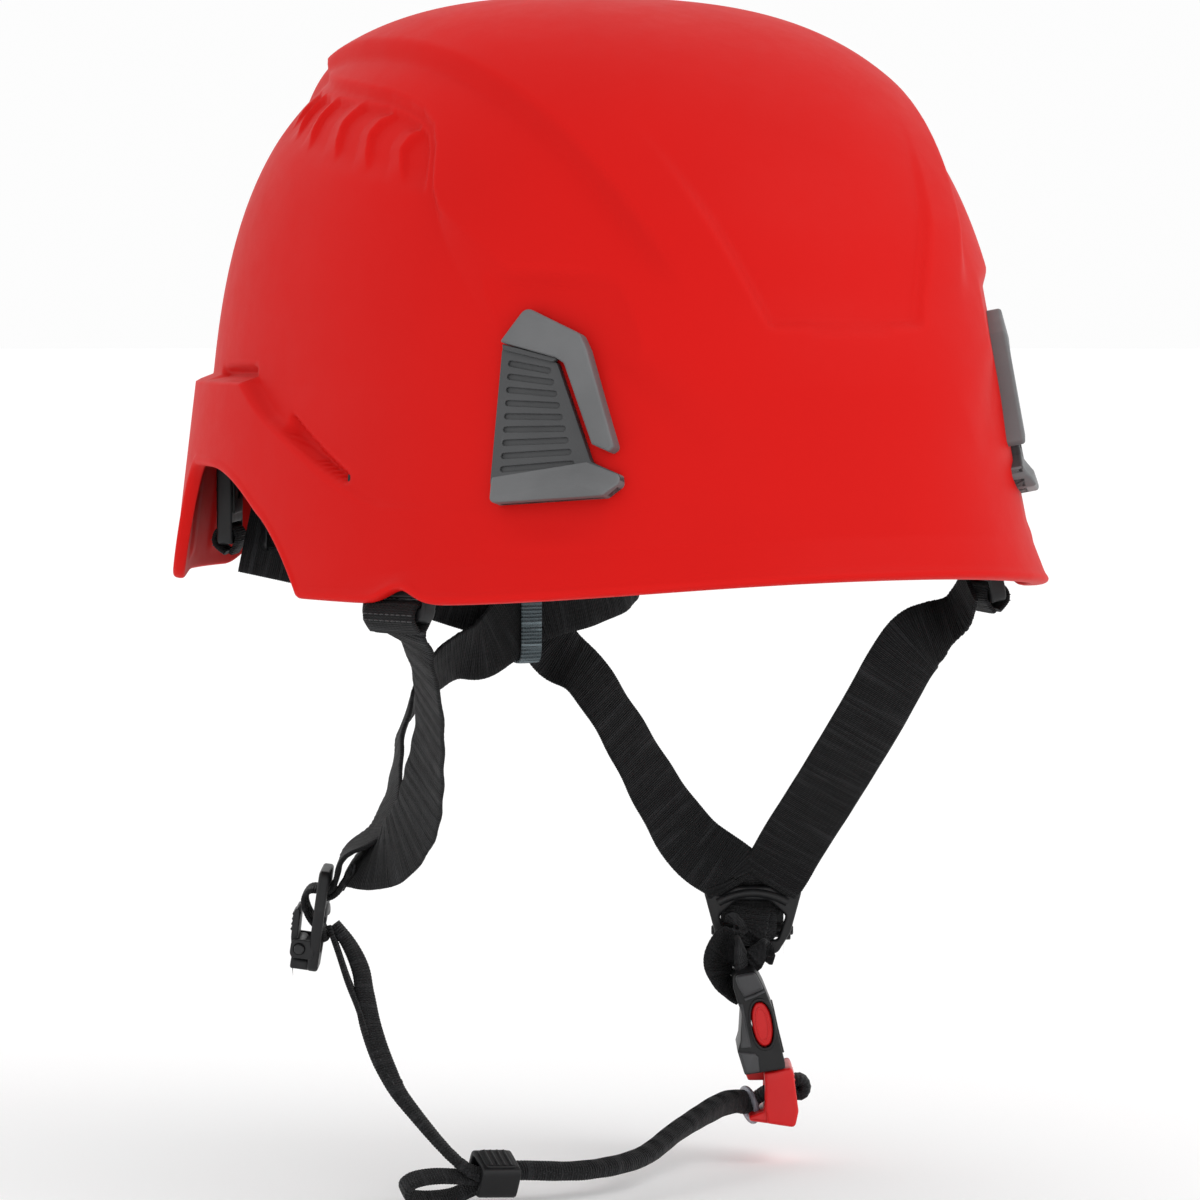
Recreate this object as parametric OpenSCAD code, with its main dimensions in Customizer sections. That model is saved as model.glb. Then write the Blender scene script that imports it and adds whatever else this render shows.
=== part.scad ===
// Climbing-style safety helmet: hard shell, foam liner, suspension cradle with ratchet,
// four-point webbing harness with side dividers and a side-release chin buckle.
// Millimetres. +Z up, front of the helmet towards -Y, wearer's left towards +X.
// Origin: middle of the head opening, on the level of the lowest point of the side brim.

/* [Shell] */
// half width at the widest level line
shell_half_w = 101; // [88:0.5:115]
// middle of the head to the front, at the level line
shell_front = 142; // [120:1:160]
// middle of the head to the back, at the level line
shell_rear = 129; // [115:1:150]
// height of the level line above the side brim
level_z = 62; // [50:1:75]
// height of the crown, without the raised centre panel
crown_z = 167.5; // [150:0.5:185]
// wall thickness of the moulded shell
shell_t = 3.2; // [2.4:0.1:4.5]
// how far the sides and back flare out below the level line
side_flare = 11.7; // [6:0.1:16]
// how far the front flares out below the level line
front_flare = 12.8; // [8:0.1:20]
// height of the ear arch above the side brim
arch_h = 34.6; // [20:0.2:42]
// rise of the brim at the front
brim_rise = 7.7; // [0:0.1:14]
// height of the raised centre panel
crown_panel_h = 4; // [1:0.25:6]
// height of the raised side panels
side_panel_h = 2.2; // [0.5:0.1:4]
// step of the rear collar
collar_h = 5; // [2:0.25:8]
// depth of the recess on the forehead
front_recess = 1.8; // [0.5:0.1:2.2]

/* [Liner] */
// foam thickness
liner_t = 18; // [12:1:26]
// lower edge of the foam
liner_z = 48; // [44:1:60]

/* [Headband] */
// half width of the headband ring
band_half_w = 85; // [72:1:90]
// half length of the headband ring
band_half_l = 108; // [92:1:112]
// height of the headband
band_h = 24; // [18:1:32]
// thickness of the moulded band
band_t = 1.6; // [1.2:0.1:2.4]
// thickness of the brow pad
brow_t = 5; // [3:0.5:8]

/* [Ratchet] */
// height of the knob's centre
knob_z = 12; // [6:0.5:20]
// knob radius
knob_r = 16; // [12:0.5:20]
// gear module of the pinion and the racks
gear_m = 0.8333; // [0.6:0.0001:1.2]
// teeth on the pinion
gear_n = 12; // [10:1:16]

/* [Webbing] */
// width of the harness webbing
web_w = 20; // [15:1:25]
// thickness of the harness webbing
web_t = 1.6; // [1.0:0.1:2.4]
// width of the chin strap
chin_w = 7; // [5:0.5:12]
// thickness of the chin strap
chin_t = 3.4; // [1.5:0.1:4]

/* [Buckle] */
// width of the buckle
buckle_w = 26; // [20:1:32]
// thickness of the buckle
buckle_t = 11; // [8:0.5:14]
// length of the socket
socket_l = 31; // [26:1:40]

/* [Hidden] */
side_e = 3.05;
length_e = 2.26;
plan_e = 2.22;
lean_side = 0.05;
lean_front = 0.21;
lean_rear = 0.2;
cols = 96;
low_rows = 9;
top_rows = 17;
gap = 0.4;
pitch_r = gear_m * gear_n / 2;
pivot_y = 12;
pivot_z = 26;

function clamp01(v) = min(1, max(0, v));
function ease(v) = let(t = clamp01(v)) t * t * (3 - 2 * t);
function unit(v) = v / norm(v);
function spow(v, e) = sign(v) * pow(abs(v), e);
function mix(a, b, t) = a + (b - a) * t;

// Smooth body of the helmet without its raised and sunk areas; f is the angle from the front
function body_pt(f, z) =
  let(t = clamp01((z - level_z) / (crown_z - level_z)),
      gs = pow(max(0, 1 - pow(t, side_e)), 1 / side_e),
      gl = pow(max(0, 1 - pow(t, length_e)), 1 / length_e),
      s = t - 0.45 * pow(t, 3),
      k = max(0, (level_z - z) / level_z),
      fore = cos(f) > 0,
      len = fore ? shell_front : shell_rear,
      lean = fore ? lean_front : lean_rear,
      flare = fore ? front_flare : side_flare)
  [(shell_half_w * gs * (1 - lean_side * s) + side_flare * k) * spow(sin(f), 2 / plan_e),
   -(len * gl * (1 - lean * s) + flare * k) * spow(cos(f), 2 / plan_e),
   z];

function body_n(f, z) =
  let(p = body_pt(f, z),
      len = cos(f) > 0 ? shell_front : shell_rear,
      up = max(0, z - level_z) / (crown_z - level_z))
  unit([p[0] / pow(shell_half_w, 2), p[1] / pow(len, 2),
        (0.12 + up * up * 0.9) / (crown_z - level_z)]);

// Height of the lower edge: brim, strap notch, ear arch, rear lobes and rear centre
function rim_z(f) =
  let(a = abs(f))
  2.6 + brim_rise * pow(max(0, cos(min(90, 1.35 * a))), 1.5)
  + 4 * exp(-pow((a - 65.5) / 3, 2))
  + arch_h * (1 - pow(1 - clamp01((a - 82) / 24), 2.4)) * (1 - ease((a - 111) / 16))
  + 2 * ease((a - 127) / 8)
  + 13 * ease((a - 150) / 16);

// Raised centre panel, narrowing towards the front and the back
function panel_half(y) = y < -10 ? 69 - 20.5 * pow((-10 - y) / 105, 2)
                                 : 69 - 28 * pow((y + 10) / 120, 2);
function crown_panel(p) =
  crown_panel_h * ease((panel_half(p[1]) - abs(p[0]) + 4) / 8)
  * ease((p[2] - (p[1] < 0 ? 82 : 88)) / 26);

// Lower edge of the raised side panels
function side_edge(a) =
  mix(70 + 1.875 * (max(a, 24) - 35), 134 + 0.3 * (a - 58), ease((a - 55) / 6));
function side_panel(a, z) =
  side_panel_h * ease((z - side_edge(a)) / (a > 38 ? 6 : 6 + (38 - a) * 1.6) + 0.5);

// Rib bed under the rear part of each side panel
function rib_bed(a, z) =
  -1.6 * ease((a - 60) / 6) * ease((126 - a) / 8) * ease((z - 112) / 12)
  * ease((side_edge(a) - 2 - z) / 4);

// Rear collar, fading forwards along the ear
function collar_z(a) = a > 97 ? 62.5 : 29.5 + 33 * pow(clamp01((a - 70) / 27), 1.35);
function collar(a, z) =
  collar_h * mix(0.2, 1, ease((a - 62) / 36)) * ease((a - 48) / 18)
  * ease((collar_z(a) - z) / 4 + 0.5) * (1 - 0.9 * clamp01((level_z - z) / level_z));

// Flared lip of the brim under its crease
function crease_z(a) = 22 - 11 * pow(a / 68, 2);
function lip(a, z) =
  2.2 * (1 - ease((a - 62) / 14)) * clamp01((crease_z(a) - z) / (crease_z(a) - rim_z(a) + 0.01));

// Recess on the forehead
function brow_recess(p, a, z) =
  a > 60 ? 0 : -front_recess * ease((24 + 13 * (z - 79) / 39 - abs(p[0])) / 4 + 0.5)
  * ease((z - 78) / 3) * (1 - ease((z - 100) / 34));

// Flat seats for the lamp clips
clip_f = 43.5;
clip_z = 57;
clip_turn = 53.6;
clip_tilt = 11;
clip_c = body_pt(-clip_f, clip_z);
clip_n = [-cos(clip_tilt) * sin(clip_turn), -cos(clip_tilt) * cos(clip_turn), sin(clip_tilt)];
clip_fwd = [cos(clip_turn), -sin(clip_turn), 0];
clip_up = cross(clip_n, clip_fwd);
function seat_cut(p) =
  let(q = [-abs(p[0]), p[1], p[2]] - clip_c,
      s = q * clip_n + 0.8,
      m = ease((31 - abs(q * clip_fwd)) / 8) * ease((39 - abs(q * clip_up)) / 8))
  -max(0, s) * m;

function features(f, z) =
  let(a = abs(f), p = body_pt(f, z))
  crown_panel(p) + side_panel(a, z) + collar(a, z);
function shell_out(f, z) =
  let(a = abs(f), p = body_pt(f, z), n = body_n(f, z),
      d = features(f, z) + rib_bed(a, z) + lip(a, z) + brow_recess(p, a, z),
      q = p + n * d)
  q + [clip_n[0] * (p[0] > 0 ? -1 : 1), clip_n[1], clip_n[2]] * seat_cut(q);
function shell_in(f, z) =
  body_pt(f, z) + body_n(f, z) * (0.85 * features(f, z) - shell_t);

// Height at row r of a skin that starts at height z0 and ends just under the crown
function row_z(r, z0) =
  r <= low_rows ? mix(z0, level_z, r / low_rows)
  : level_z + (crown_z - level_z)
    * pow(sin(86 * pow((r - low_rows) / top_rows, 1.15)), 0.8);

function angle(c) = -180 + 360 * c / cols;

// Closed double skin from rows of outer points, rows of inner points and two crown points
module double_skin(outer, inner, top_o, top_i) {
  n = cols;
  m = len(outer);
  k = len(inner);
  pts = concat([for (r = outer) each r], [for (r = inner) each r], [top_o, top_i]);
  o = function (r, c) r * n + c % n;
  i = function (r, c) (m + r) * n + c % n;
  to = (m + k) * n;
  ti = to + 1;
  faces = concat(
    [for (r = [0:m - 2], c = [0:n - 1]) each [[o(r, c), o(r + 1, c), o(r + 1, c + 1)],
                                              [o(r, c), o(r + 1, c + 1), o(r, c + 1)]]],
    [for (r = [0:k - 2], c = [0:n - 1]) each [[i(r, c), i(r + 1, c + 1), i(r + 1, c)],
                                              [i(r, c), i(r, c + 1), i(r + 1, c + 1)]]],
    [for (c = [0:n - 1]) each [[o(0, c), o(0, c + 1), i(0, c + 1)],
                               [o(0, c), i(0, c + 1), i(0, c)]]],
    [for (c = [0:n - 1]) [o(m - 1, c), to, o(m - 1, c + 1)]],
    [for (c = [0:n - 1]) [i(k - 1, c), i(k - 1, c + 1), ti]]);
  polyhedron(points = pts, faces = faces, convexity = 6);
}

// Flat webbing along a smooth line through round control points
function spline(a, b, c, d, t) =
  0.5 * (2 * b + (c - a) * t + (2 * a - 5 * b + 4 * c - d) * t * t
         + (3 * b - 3 * c + d - a) * t * t * t);
function at(l, i) = l[max(0, min(len(l) - 1, i))];
function curve(l, n) =
  concat([for (i = [0:len(l) - 2], j = [0:n - 1])
            spline(at(l, i - 1), l[i], l[i + 1], at(l, i + 2), j / n)], [l[len(l) - 1]]);

module ribbon(path, dirs, w, t, n = 4) {
  c = curve(path, n);
  d = curve(dirs, n);
  m = len(c);
  pts = [for (i = [0:m - 1])
    let(along = unit(c[min(m - 1, i + 1)] - c[max(0, i - 1)]),
        b = unit(d[i] - along * (d[i] * along)),
        h = cross(along, b))
    each [for (s = [[1, 1], [-1, 1], [-1, -1], [1, -1]])
      c[i] + b * s[0] * w / 2 + h * s[1] * t / 2]];
  v = function (i, k) i * 4 + k % 4;
  faces = concat(
    [[0, 1, 2], [0, 2, 3]],
    [for (i = [0:m - 2], k = [0:3]) each [[v(i, k + 1), v(i, k), v(i + 1, k)],
                                          [v(i, k + 1), v(i + 1, k), v(i + 1, k + 1)]]],
    [[v(m - 1, 3), v(m - 1, 2), v(m - 1, 1)], [v(m - 1, 3), v(m - 1, 1), v(m - 1, 0)]]);
  polyhedron(points = pts, faces = faces, convexity = 4);
}

// Plan view of the headband ring and the strips that follow it
function ring_pt(f, off) =
  [(band_half_w + off) * spow(sin(f), 2 / plan_e),
   2 - (band_half_l + off) * spow(cos(f), 2 / plan_e)];
module ring_strip(f0, f1, off, t, h, steps = 30) {
  linear_extrude(h) polygon(concat(
    [for (i = [0:steps]) ring_pt(mix(f0, f1, i / steps), off)],
    [for (i = [steps:-1:0]) ring_pt(mix(f0, f1, i / steps), off + t)]));
}

module bar(size, r) {
  linear_extrude(size[2], center = true) offset(r, $fn = 24)
    square([size[0] - 2 * r, size[1] - 2 * r], center = true);
}

module shell() {
  color([0.86, 0.13, 0.11])
    double_skin(
      [for (r = [0:low_rows + top_rows]) [for (c = [0:cols - 1])
        let(f = angle(c)) shell_out(f, row_z(r, rim_z(f)))]],
      [for (r = [0:low_rows + top_rows]) [for (c = [0:cols - 1])
        let(f = angle(c)) shell_in(f, row_z(r, rim_z(f)))]],
      [0, 0, crown_z + crown_panel_h + side_panel_h],
      [0, 0, crown_z - shell_t + 0.85 * (crown_panel_h + side_panel_h)]);
}

module impact_liner() {
  off = shell_t + gap;
  color([0.2, 0.2, 0.2])
    double_skin(
      [for (r = [0:3:low_rows + top_rows]) [for (c = [0:cols - 1])
        let(f = angle(c), z = row_z(r, liner_z)) body_pt(f, z) - body_n(f, z) * off]],
      [for (r = [0:3:low_rows + top_rows]) [for (c = [0:cols - 1])
        let(f = angle(c), z = row_z(r, liner_z)) body_pt(f, z) - body_n(f, z) * (off + liner_t)]],
      [0, 0, crown_z - off], [0, 0, crown_z - off - liner_t]);
}

// Lamp clip: ridged panel and base, with a hooded hook in front of a slit
module clip_place() {
  translate(clip_c) rotate([0, 0, -clip_turn]) rotate([90 - clip_tilt, 0, 0])
    translate([0, 0, -0.7]) children();
}
module clip_solid() {
  linear_extrude(4.6) polygon([[-18.5, 16], [-19, -21], [-17.5, -27], [15, -24.5], [19, -21],
                               [18.5, -18.3], [10, -15], [-2, 12]]);
  linear_extrude(7.6) polygon([[-18.9, -20], [-17.5, -27], [15, -24.5], [19, -21],
                               [18.5, -18.3], [9, -15.5]]);
  linear_extrude(7.6) polygon([[-18.6, 17.5], [-12, 27], [4.7, 19.6], [7, 15.5], [17, -11],
                               [15.5, -12.5], [10.5, -10.5], [0.6, 11.5], [-2, 13]]);
  for (i = [0:8]) translate([0, 0, 4.6]) linear_extrude(0.9)
    polygon([[-16.5, 12.2 - 3.6 * i], [-4 + 1.05 * i, 11 - 3.4 * i],
             [-4 + 1.05 * i, 9.6 - 3.4 * i], [-16.5, 10.8 - 3.6 * i]]);
}
module clip_right() { color([0.36, 0.36, 0.37]) clip_place() clip_solid(); }
module clip_left() { color([0.36, 0.36, 0.37]) mirror([1, 0, 0]) clip_place() clip_solid(); }

module headband() {
  color([0.08, 0.08, 0.08]) translate([0, 0, 14]) ring_strip(-96, 96, 0, band_t, band_h, 48);
}
module brow_pad() {
  color([0.12, 0.12, 0.12]) translate([0, 0, 11])
    ring_strip(-62, 62, -brow_t - 0.05, brow_t, band_h + 6, 36);
}

// Three webbing straps over the head, each from the headband up to the crown and down
module cradle_arc(f, lift) {
  e = ring_pt(f, -0.9);
  g = ring_pt(f + 180, -0.9);
  side = [cos(f), sin(f), 0];
  path = [[e[0], e[1], 42], [e[0] * 0.9, e[1] * 0.9, 50], [e[0] * 0.8, e[1] * 0.8, 68],
          [e[0] * 0.62, e[1] * 0.62, 100], [e[0] * 0.32, e[1] * 0.32, 124 + lift],
          [0, 0, 130 + lift],
          [g[0] * 0.32, g[1] * 0.32, 124 + lift], [g[0] * 0.62, g[1] * 0.62, 100],
          [g[0] * 0.8, g[1] * 0.8, 68], [g[0] * 0.9, g[1] * 0.9, 50], [g[0], g[1], 42]];
  ribbon(path, [for (i = path) side], 18, 1.2, 2);
}
module cradle_webbing() {
  color([0.1, 0.1, 0.1]) {
    cradle_arc(-66, 0);
    cradle_arc(66, 1.6);
    cradle_arc(0, 3.2);
  }
}
module crown_pad() {
  color([0.12, 0.12, 0.12]) translate([0, 0, 114]) cylinder(h = 6, r = 30, $fn = 60);
}
// Short arms that hang the headband from the shell wall
module cradle_hangers() {
  color([0.08, 0.08, 0.08]) for (f = [-74, -34, 34, 74]) {
    a = ring_pt(f, band_t + 0.05);
    b = body_pt(f, 38) - body_n(f, 38) * (shell_t + 0.6);
    u = unit([b[0] - a[0], b[1] - a[1]]);
    v = [-u[1], u[0]];
    translate([0, 0, 26]) linear_extrude(12)
      polygon([a + 5 * v + 0.6 * u, a - 5 * v + 0.6 * u, [b[0], b[1]] - 7 * v, [b[0], b[1]] + 7 * v]);
  }
}

module pivot_solid() {
  translate([band_half_w + band_t + 0.02, pivot_y, pivot_z]) rotate([0, 90, 0]) {
    cylinder(h = 3.2, r = 3, $fn = 40);
    translate([0, 0, 3.2]) cylinder(h = 1.4, r = 5.5, $fn = 40);
  }
}
module pivot_right() { color([0.15, 0.15, 0.15]) mirror([1, 0, 0]) pivot_solid(); }
module pivot_left() { color([0.15, 0.15, 0.15]) pivot_solid(); }

// Rear support: curved panel behind the head, dipping in the middle behind the knob
module nape_cradle() {
  color([0.09, 0.09, 0.09]) intersection() {
    translate([0, 0, -12]) ring_strip(140, 220, 1, 2.2, 46, 30);
    rotate([90, 0, 0]) linear_extrude(300, center = true)
      polygon([[-70, 10], [-40, 9], [-24, -8], [24, -8], [40, 9], [70, 10],
               [70, 26], [40, 31], [-40, 31], [-70, 26]]);
  }
}
module nape_pad() {
  color([0.13, 0.13, 0.13]) translate([0, 0, -6]) intersection() {
    ring_strip(146, 214, -5.05, 5.95, 40, 24);
    translate([-60, 60, 2]) cube([120, 80, 32]);
  }
}

// Flexible arms from the temple pivots to the racks
module arm_solid() {
  difference() {
    ribbon(concat([[88.2, pivot_y - 9, pivot_z], [88.2, pivot_y, pivot_z]],
                  [for (q = [[104, 27], [114, 28.5], [124, 30], [133, 30], [142, 25]])
                    let(p = ring_pt(q[0], 4.6)) [p[0], p[1], q[1]]],
                  [[46, 106, 16], [40.5, 113.6, knob_z], [36.8, 116.3, knob_z]]),
           [for (i = [0:9]) [0, 0, 1]], 9.5, 1.6, 3);
    translate([80, pivot_y, pivot_z]) rotate([0, 90, 0]) cylinder(h = 20, r = 3.05, $fn = 40);
  }
}
module band_arm_right() { color([0.1, 0.1, 0.1]) mirror([1, 0, 0]) arm_solid(); }
module band_arm_left() { color([0.1, 0.1, 0.1]) arm_solid(); }

// Toothed racks either side of the pinion
module rack_solid() {
  p = PI * gear_m;
  translate([0, 117.5, knob_z]) rotate([90, 0, 0]) linear_extrude(2.4) union() {
    translate([-36, pitch_r + 0.95]) square([50, 2.4]);
    for (i = [-5:4]) translate([(i + 0.5) * p, pitch_r])
      polygon([[-0.82, 1.2], [-0.52, 0], [-0.3, -0.55], [0.3, -0.55], [0.52, 0], [0.82, 1.2]]);
  }
}
module rack_right() { color([0.2, 0.2, 0.2]) rack_solid(); }
module rack_left() {
  color([0.2, 0.2, 0.2]) translate([0, 0, 2 * knob_z]) rotate([0, 180, 0]) rack_solid();
}

// Housing: open tray on the nape panel, and its flat cover
hub_y0 = 113.3;
module hub_block(x, z, y0, y1, r) {
  translate([0, y1, knob_z]) rotate([90, 0, 0]) linear_extrude(y1 - y0)
    offset(r, $fn = 32) square([x - 2 * r, z - 2 * r], center = true);
}
module ratchet_housing() {
  color([0.1, 0.1, 0.1]) difference() {
    hub_block(66, 30, hub_y0, 119.4, 8);
    hub_block(61, 24, hub_y0 + 1.2, 120, 5);
    translate([-40, hub_y0 + 1.2, knob_z - 9.5]) cube([80, 10, 19]);
  }
}
module ratchet_cover() {
  color([0.12, 0.12, 0.12]) difference() {
    hub_block(66, 30, 119.45, 121.6, 8);
    translate([0, 125, knob_z]) rotate([90, 0, 0]) cylinder(h = 10, r = 4.05, $fn = 48);
  }
}
module pinion() {
  color([0.75, 0.75, 0.72]) translate([0, 118.6, knob_z]) rotate([90, 0, 0]) linear_extrude(3.4)
    union() {
      circle(r = pitch_r - 1.05, $fn = 48);
      for (i = [0:gear_n - 1]) rotate(360 * i / gear_n)
        polygon([[pitch_r - 1.4, -0.85], [pitch_r, -0.5], [pitch_r + 0.55, -0.28],
                 [pitch_r + 0.55, 0.28], [pitch_r, 0.5], [pitch_r - 1.4, 0.85]]);
    }
}
module ratchet_spring() {
  color([0.7, 0.7, 0.7]) translate([0, 123.4, knob_z]) rotate([90, 0, 0]) difference() {
    cylinder(h = 0.8, r = 11, $fn = 48);
    translate([0, 0, -1]) cylinder(h = 3, r = 4.3, $fn = 48);
    for (i = [0:2]) rotate(120 * i) translate([7.6, 0, -1]) cube([4.4, 2, 6], center = true);
  }
}
module ratchet_knob() {
  color([0.09, 0.09, 0.09]) {
    translate([0, 133, knob_z]) rotate([90, 0, 0]) difference() {
      linear_extrude(11) difference() {
        circle(r = knob_r, $fn = 72);
        for (i = [0:11]) rotate(30 * i) translate([knob_r + 2.2, 0]) circle(r = 4, $fn = 24);
      }
      translate([0, 0, 8.6]) cylinder(h = 3, r = 11.6, $fn = 60);
    }
    translate([0, 125, knob_z]) rotate([90, 0, 0]) cylinder(h = 6.4, r = 4, $fn = 48);
  }
}

// Strap anchors clipped inside the shell wall, each with a slot for webbing
module anchor_solid(h) {
  difference() {
    rotate([0, 90, 0]) bar([h, 24, 4.6], 3);
    translate([0, 0, -h / 2 + 5]) cube([10, web_w + 0.8, 2.6], center = true);
  }
  translate([0, 0, h / 2 - 6]) rotate([0, 90, 0]) cylinder(h = 3.6, r = 3, $fn = 32);
}
module front_anchor_solid() {
  translate([96.6, -61, 11]) rotate([0, 0, -17]) rotate([0, -10.5, 0]) anchor_solid(27);
}
module rear_anchor_solid() { translate([76, 84, 26.4]) rotate([0, 0, 35]) anchor_solid(27); }
module front_anchor_left() { color([0.1, 0.1, 0.1]) front_anchor_solid(); }
module front_anchor_right() { color([0.1, 0.1, 0.1]) mirror([1, 0, 0]) front_anchor_solid(); }
module rear_anchor_left() { color([0.1, 0.1, 0.1]) rear_anchor_solid(); }
module rear_anchor_right() { color([0.1, 0.1, 0.1]) mirror([1, 0, 0]) rear_anchor_solid(); }

// Harness webbing
module front_strap_right() {
  color([0.07, 0.07, 0.07]) ribbon(
    [[-93.8, -60, 2], [-95.2, -59.5, -5.5], [-90.7, -57.5, -10.7], [-85.4, -53.7, -20.3],
     [-81.3, -46.8, -30.6], [-77.9, -39.5, -40.9], [-74.2, -30.1, -51.6], [-69.9, -17.5, -62.6],
     [-67.1, -1.7, -74.1], [-66.8, 18.4, -82.8], [-69.7, 23.2, -87.9]],
    [[-0.29, 0.96, 0], [-0.04, 1, 0], [0.19, 0.98, 0], [0.23, 0.97, 0], [0.21, 0.98, 0],
     [0.15, 0.99, 0.05], [0.04, 0.99, 0.12], [-0.02, 0.95, 0.3], [0.05, 0.91, 0.42],
     [0.42, 0.9, 0.08], [0.52, 0.86, 0]],
    web_w, web_t, 3);
}
module front_strap_left() {
  color([0.07, 0.07, 0.07]) ribbon(
    [[93.8, -60, 2], [92.6, -55.6, -5.9], [88.3, -49.5, -11.4], [85.1, -40.6, -18.3],
     [83.9, -22.4, -39.1], [82, -2.6, -61.3], [79.3, 13, -79.3], [76.3, 19.3, -87.1]],
    [[0.29, 0.96, 0], [0.12, 0.99, 0.1], [-0.19, 0.93, 0.31], [-0.52, 0.73, 0.43],
     [-0.7, 0.54, 0.48], [-0.75, 0.45, 0.48], [-0.74, 0.45, 0.5], [-0.71, 0.43, 0.55]],
    web_w, web_t, 3);
}
module rear_strap_right() {
  color([0.07, 0.07, 0.07]) ribbon(
    [[-72.2, 81.4, 14], [-54, 65, 9], [-34, 48, 2.5], [-18, 40.8, -3], [0, 39.5, -8],
     [11, 38.9, -19.8], [19.5, 36.1, -27.2], [29.6, 33.5, -42.3], [44.2, 31.8, -66.3],
     [55.2, 31, -79.6], [67.5, 27.3, -84.9]],
    [[0, 0.1, 1], [0.1, 0.1, 1], [0.2, 0.1, 1], [0.2, 0, 1], [0.35, 0, 0.9], [0.71, 0.22, 0.67],
     [0.84, 0.36, 0.41], [0.87, 0.37, 0.32], [0.88, 0.25, 0.4], [0.85, -0.16, 0.51],
     [0.75, -0.45, 0.49]],
    web_w, web_t, 3);
}
module rear_strap_left() {
  color([0.07, 0.07, 0.07]) ribbon(
    [[72.2, 81.4, 14], [54, 62, 8], [36, 42, 1.5], [20, 36.2, -3], [0, 36.6, -8],
     [-14.5, 35.6, -17.5], [-24.7, 35.8, -20.1], [-34.5, 34.7, -25.7], [-41.2, 32.9, -32.4],
     [-46, 29.9, -40.9], [-49.1, 26, -50], [-52.8, 22.4, -59.2], [-58.6, 21.9, -68.5],
     [-71.8, 25.3, -76.3], [-70.8, 23.9, -80.6]],
    [[0, 0.1, 1], [-0.1, 0.1, 1], [-0.2, 0.1, 1], [-0.2, 0, 1], [-0.35, 0, 0.9],
     [-0.55, -0.25, 0.8], [-0.68, -0.54, 0.51], [-0.66, -0.69, 0.28], [-0.59, -0.8, 0.1],
     [-0.45, -0.9, 0], [-0.43, -0.9, 0], [-0.33, -0.94, -0.05], [-0.46, -0.94, -0.1],
     [-0.72, -0.88, 0], [-0.52, -0.86, 0]],
    web_w, web_t, 3);
}
module crossing_band() {
  color([0.42, 0.47, 0.48]) translate([-1.5, 38, -9.6]) difference() {
    cube([6, 8, 34.4], center = true);
    cube([8, 6, 32], center = true);
  }
}

// Side dividers: plate with a strap slot and a wide lower opening, a pin and a cam lever
pin_y = 4.4;
pin_z = -8.4;
module divider_place_left() { translate([74, 27, -99.5]) rotate([0, 0, -31]) children(); }
module divider_place_right() {
  translate([-76, 27, -94.5]) rotate([0, 0, 59]) rotate([8, 0, 0]) children();
}
module divider_solid() {
  rotate([90, 0, 0]) linear_extrude(3, center = true) difference() {
    offset(2, $fn = 24) polygon([[-11, 13], [11, 13], [13, 2], [9, -13], [-9, -13], [-13, 2]]);
    offset(1, $fn = 16) polygon([[-10, 9], [10, 9], [10.6, 6.5], [-10.6, 6.5]]);
    offset(1, $fn = 16) polygon([[-8.6, -2.2], [-4, 0], [4, 0], [8.6, -2.2], [7.4, -9.8],
                                 [-7.4, -9.8]]);
  }
  translate([0, 3.8, -13.4]) cube([16, 5, 3.2], center = true);
  for (s = [-1, 1]) translate([s * 11.5, pin_y, pin_z]) rotate([0, 90, 0])
    difference() {
      bar([6.4, 8.6, 2.2], 2);
      cylinder(h = 6, r = 1.55, $fn = 24, center = true);
    }
}
module divider_pin_solid() {
  translate([0, pin_y, pin_z]) rotate([0, 90, 0])
    cylinder(h = 25.2, r = 1.5, $fn = 24, center = true);
}
module divider_lever_solid() {
  translate([0, pin_y, pin_z]) rotate([0, 90, 0]) linear_extrude(19.6, center = true)
    difference() {
      union() {
        circle(r = 2.4, $fn = 32);
        polygon([[0.5, 0.6], [0.5, 2.2], [-9.6, 3.2], [-11.3, 2.5], [-11.3, 1.5], [-9.6, 1.2]]);
      }
      circle(r = 1.55, $fn = 24);
    }
}
module divider_left() { color([0.08, 0.08, 0.08]) divider_place_left() divider_solid(); }
module divider_right() { color([0.08, 0.08, 0.08]) divider_place_right() divider_solid(); }
module divider_pin_left() { color([0.5, 0.5, 0.5]) divider_place_left() divider_pin_solid(); }
module divider_pin_right() { color([0.5, 0.5, 0.5]) divider_place_right() divider_pin_solid(); }
module divider_lever_left() { color([0.1, 0.1, 0.1]) divider_place_left() divider_lever_solid(); }
module divider_lever_right() { color([0.1, 0.1, 0.1]) divider_place_right() divider_lever_solid(); }

// Side-release buckle under the left divider; its own down direction leans forwards
module buckle_place() { translate([69, 15, -132]) rotate([0, 0, -31]) rotate([0, -9, 0]) children(); }
module buckle_webbing() {
  color([0.07, 0.07, 0.07]) ribbon(
    [[73.4, 22.6, -109.5], [72, 20.4, -111.5], [69.8, 18, -113.8], [67, 16.2, -116.2]],
    [[0.86, -0.5, 0], [0.86, 0.1, 0], [0.75, 0.6, 0], [0.5, 0.86, 0]], 14, web_t, 3);
}
module buckle_socket() {
  color([0.07, 0.07, 0.07]) buckle_place() difference() {
    bar([buckle_t, buckle_w, socket_l], 3);
    translate([0, 0, -2.2]) bar([buckle_t - 3.4, buckle_w - 3.6, socket_l - 4], 1.2);
    for (s = [-1, 1]) translate([0, s * buckle_w / 2, -3])
      cube([buckle_t - 4.4, 8, 15], center = true);
    translate([0, 0, socket_l / 2 - 3]) cube([buckle_t + 2, 15, 2.4], center = true);
  }
}
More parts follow.
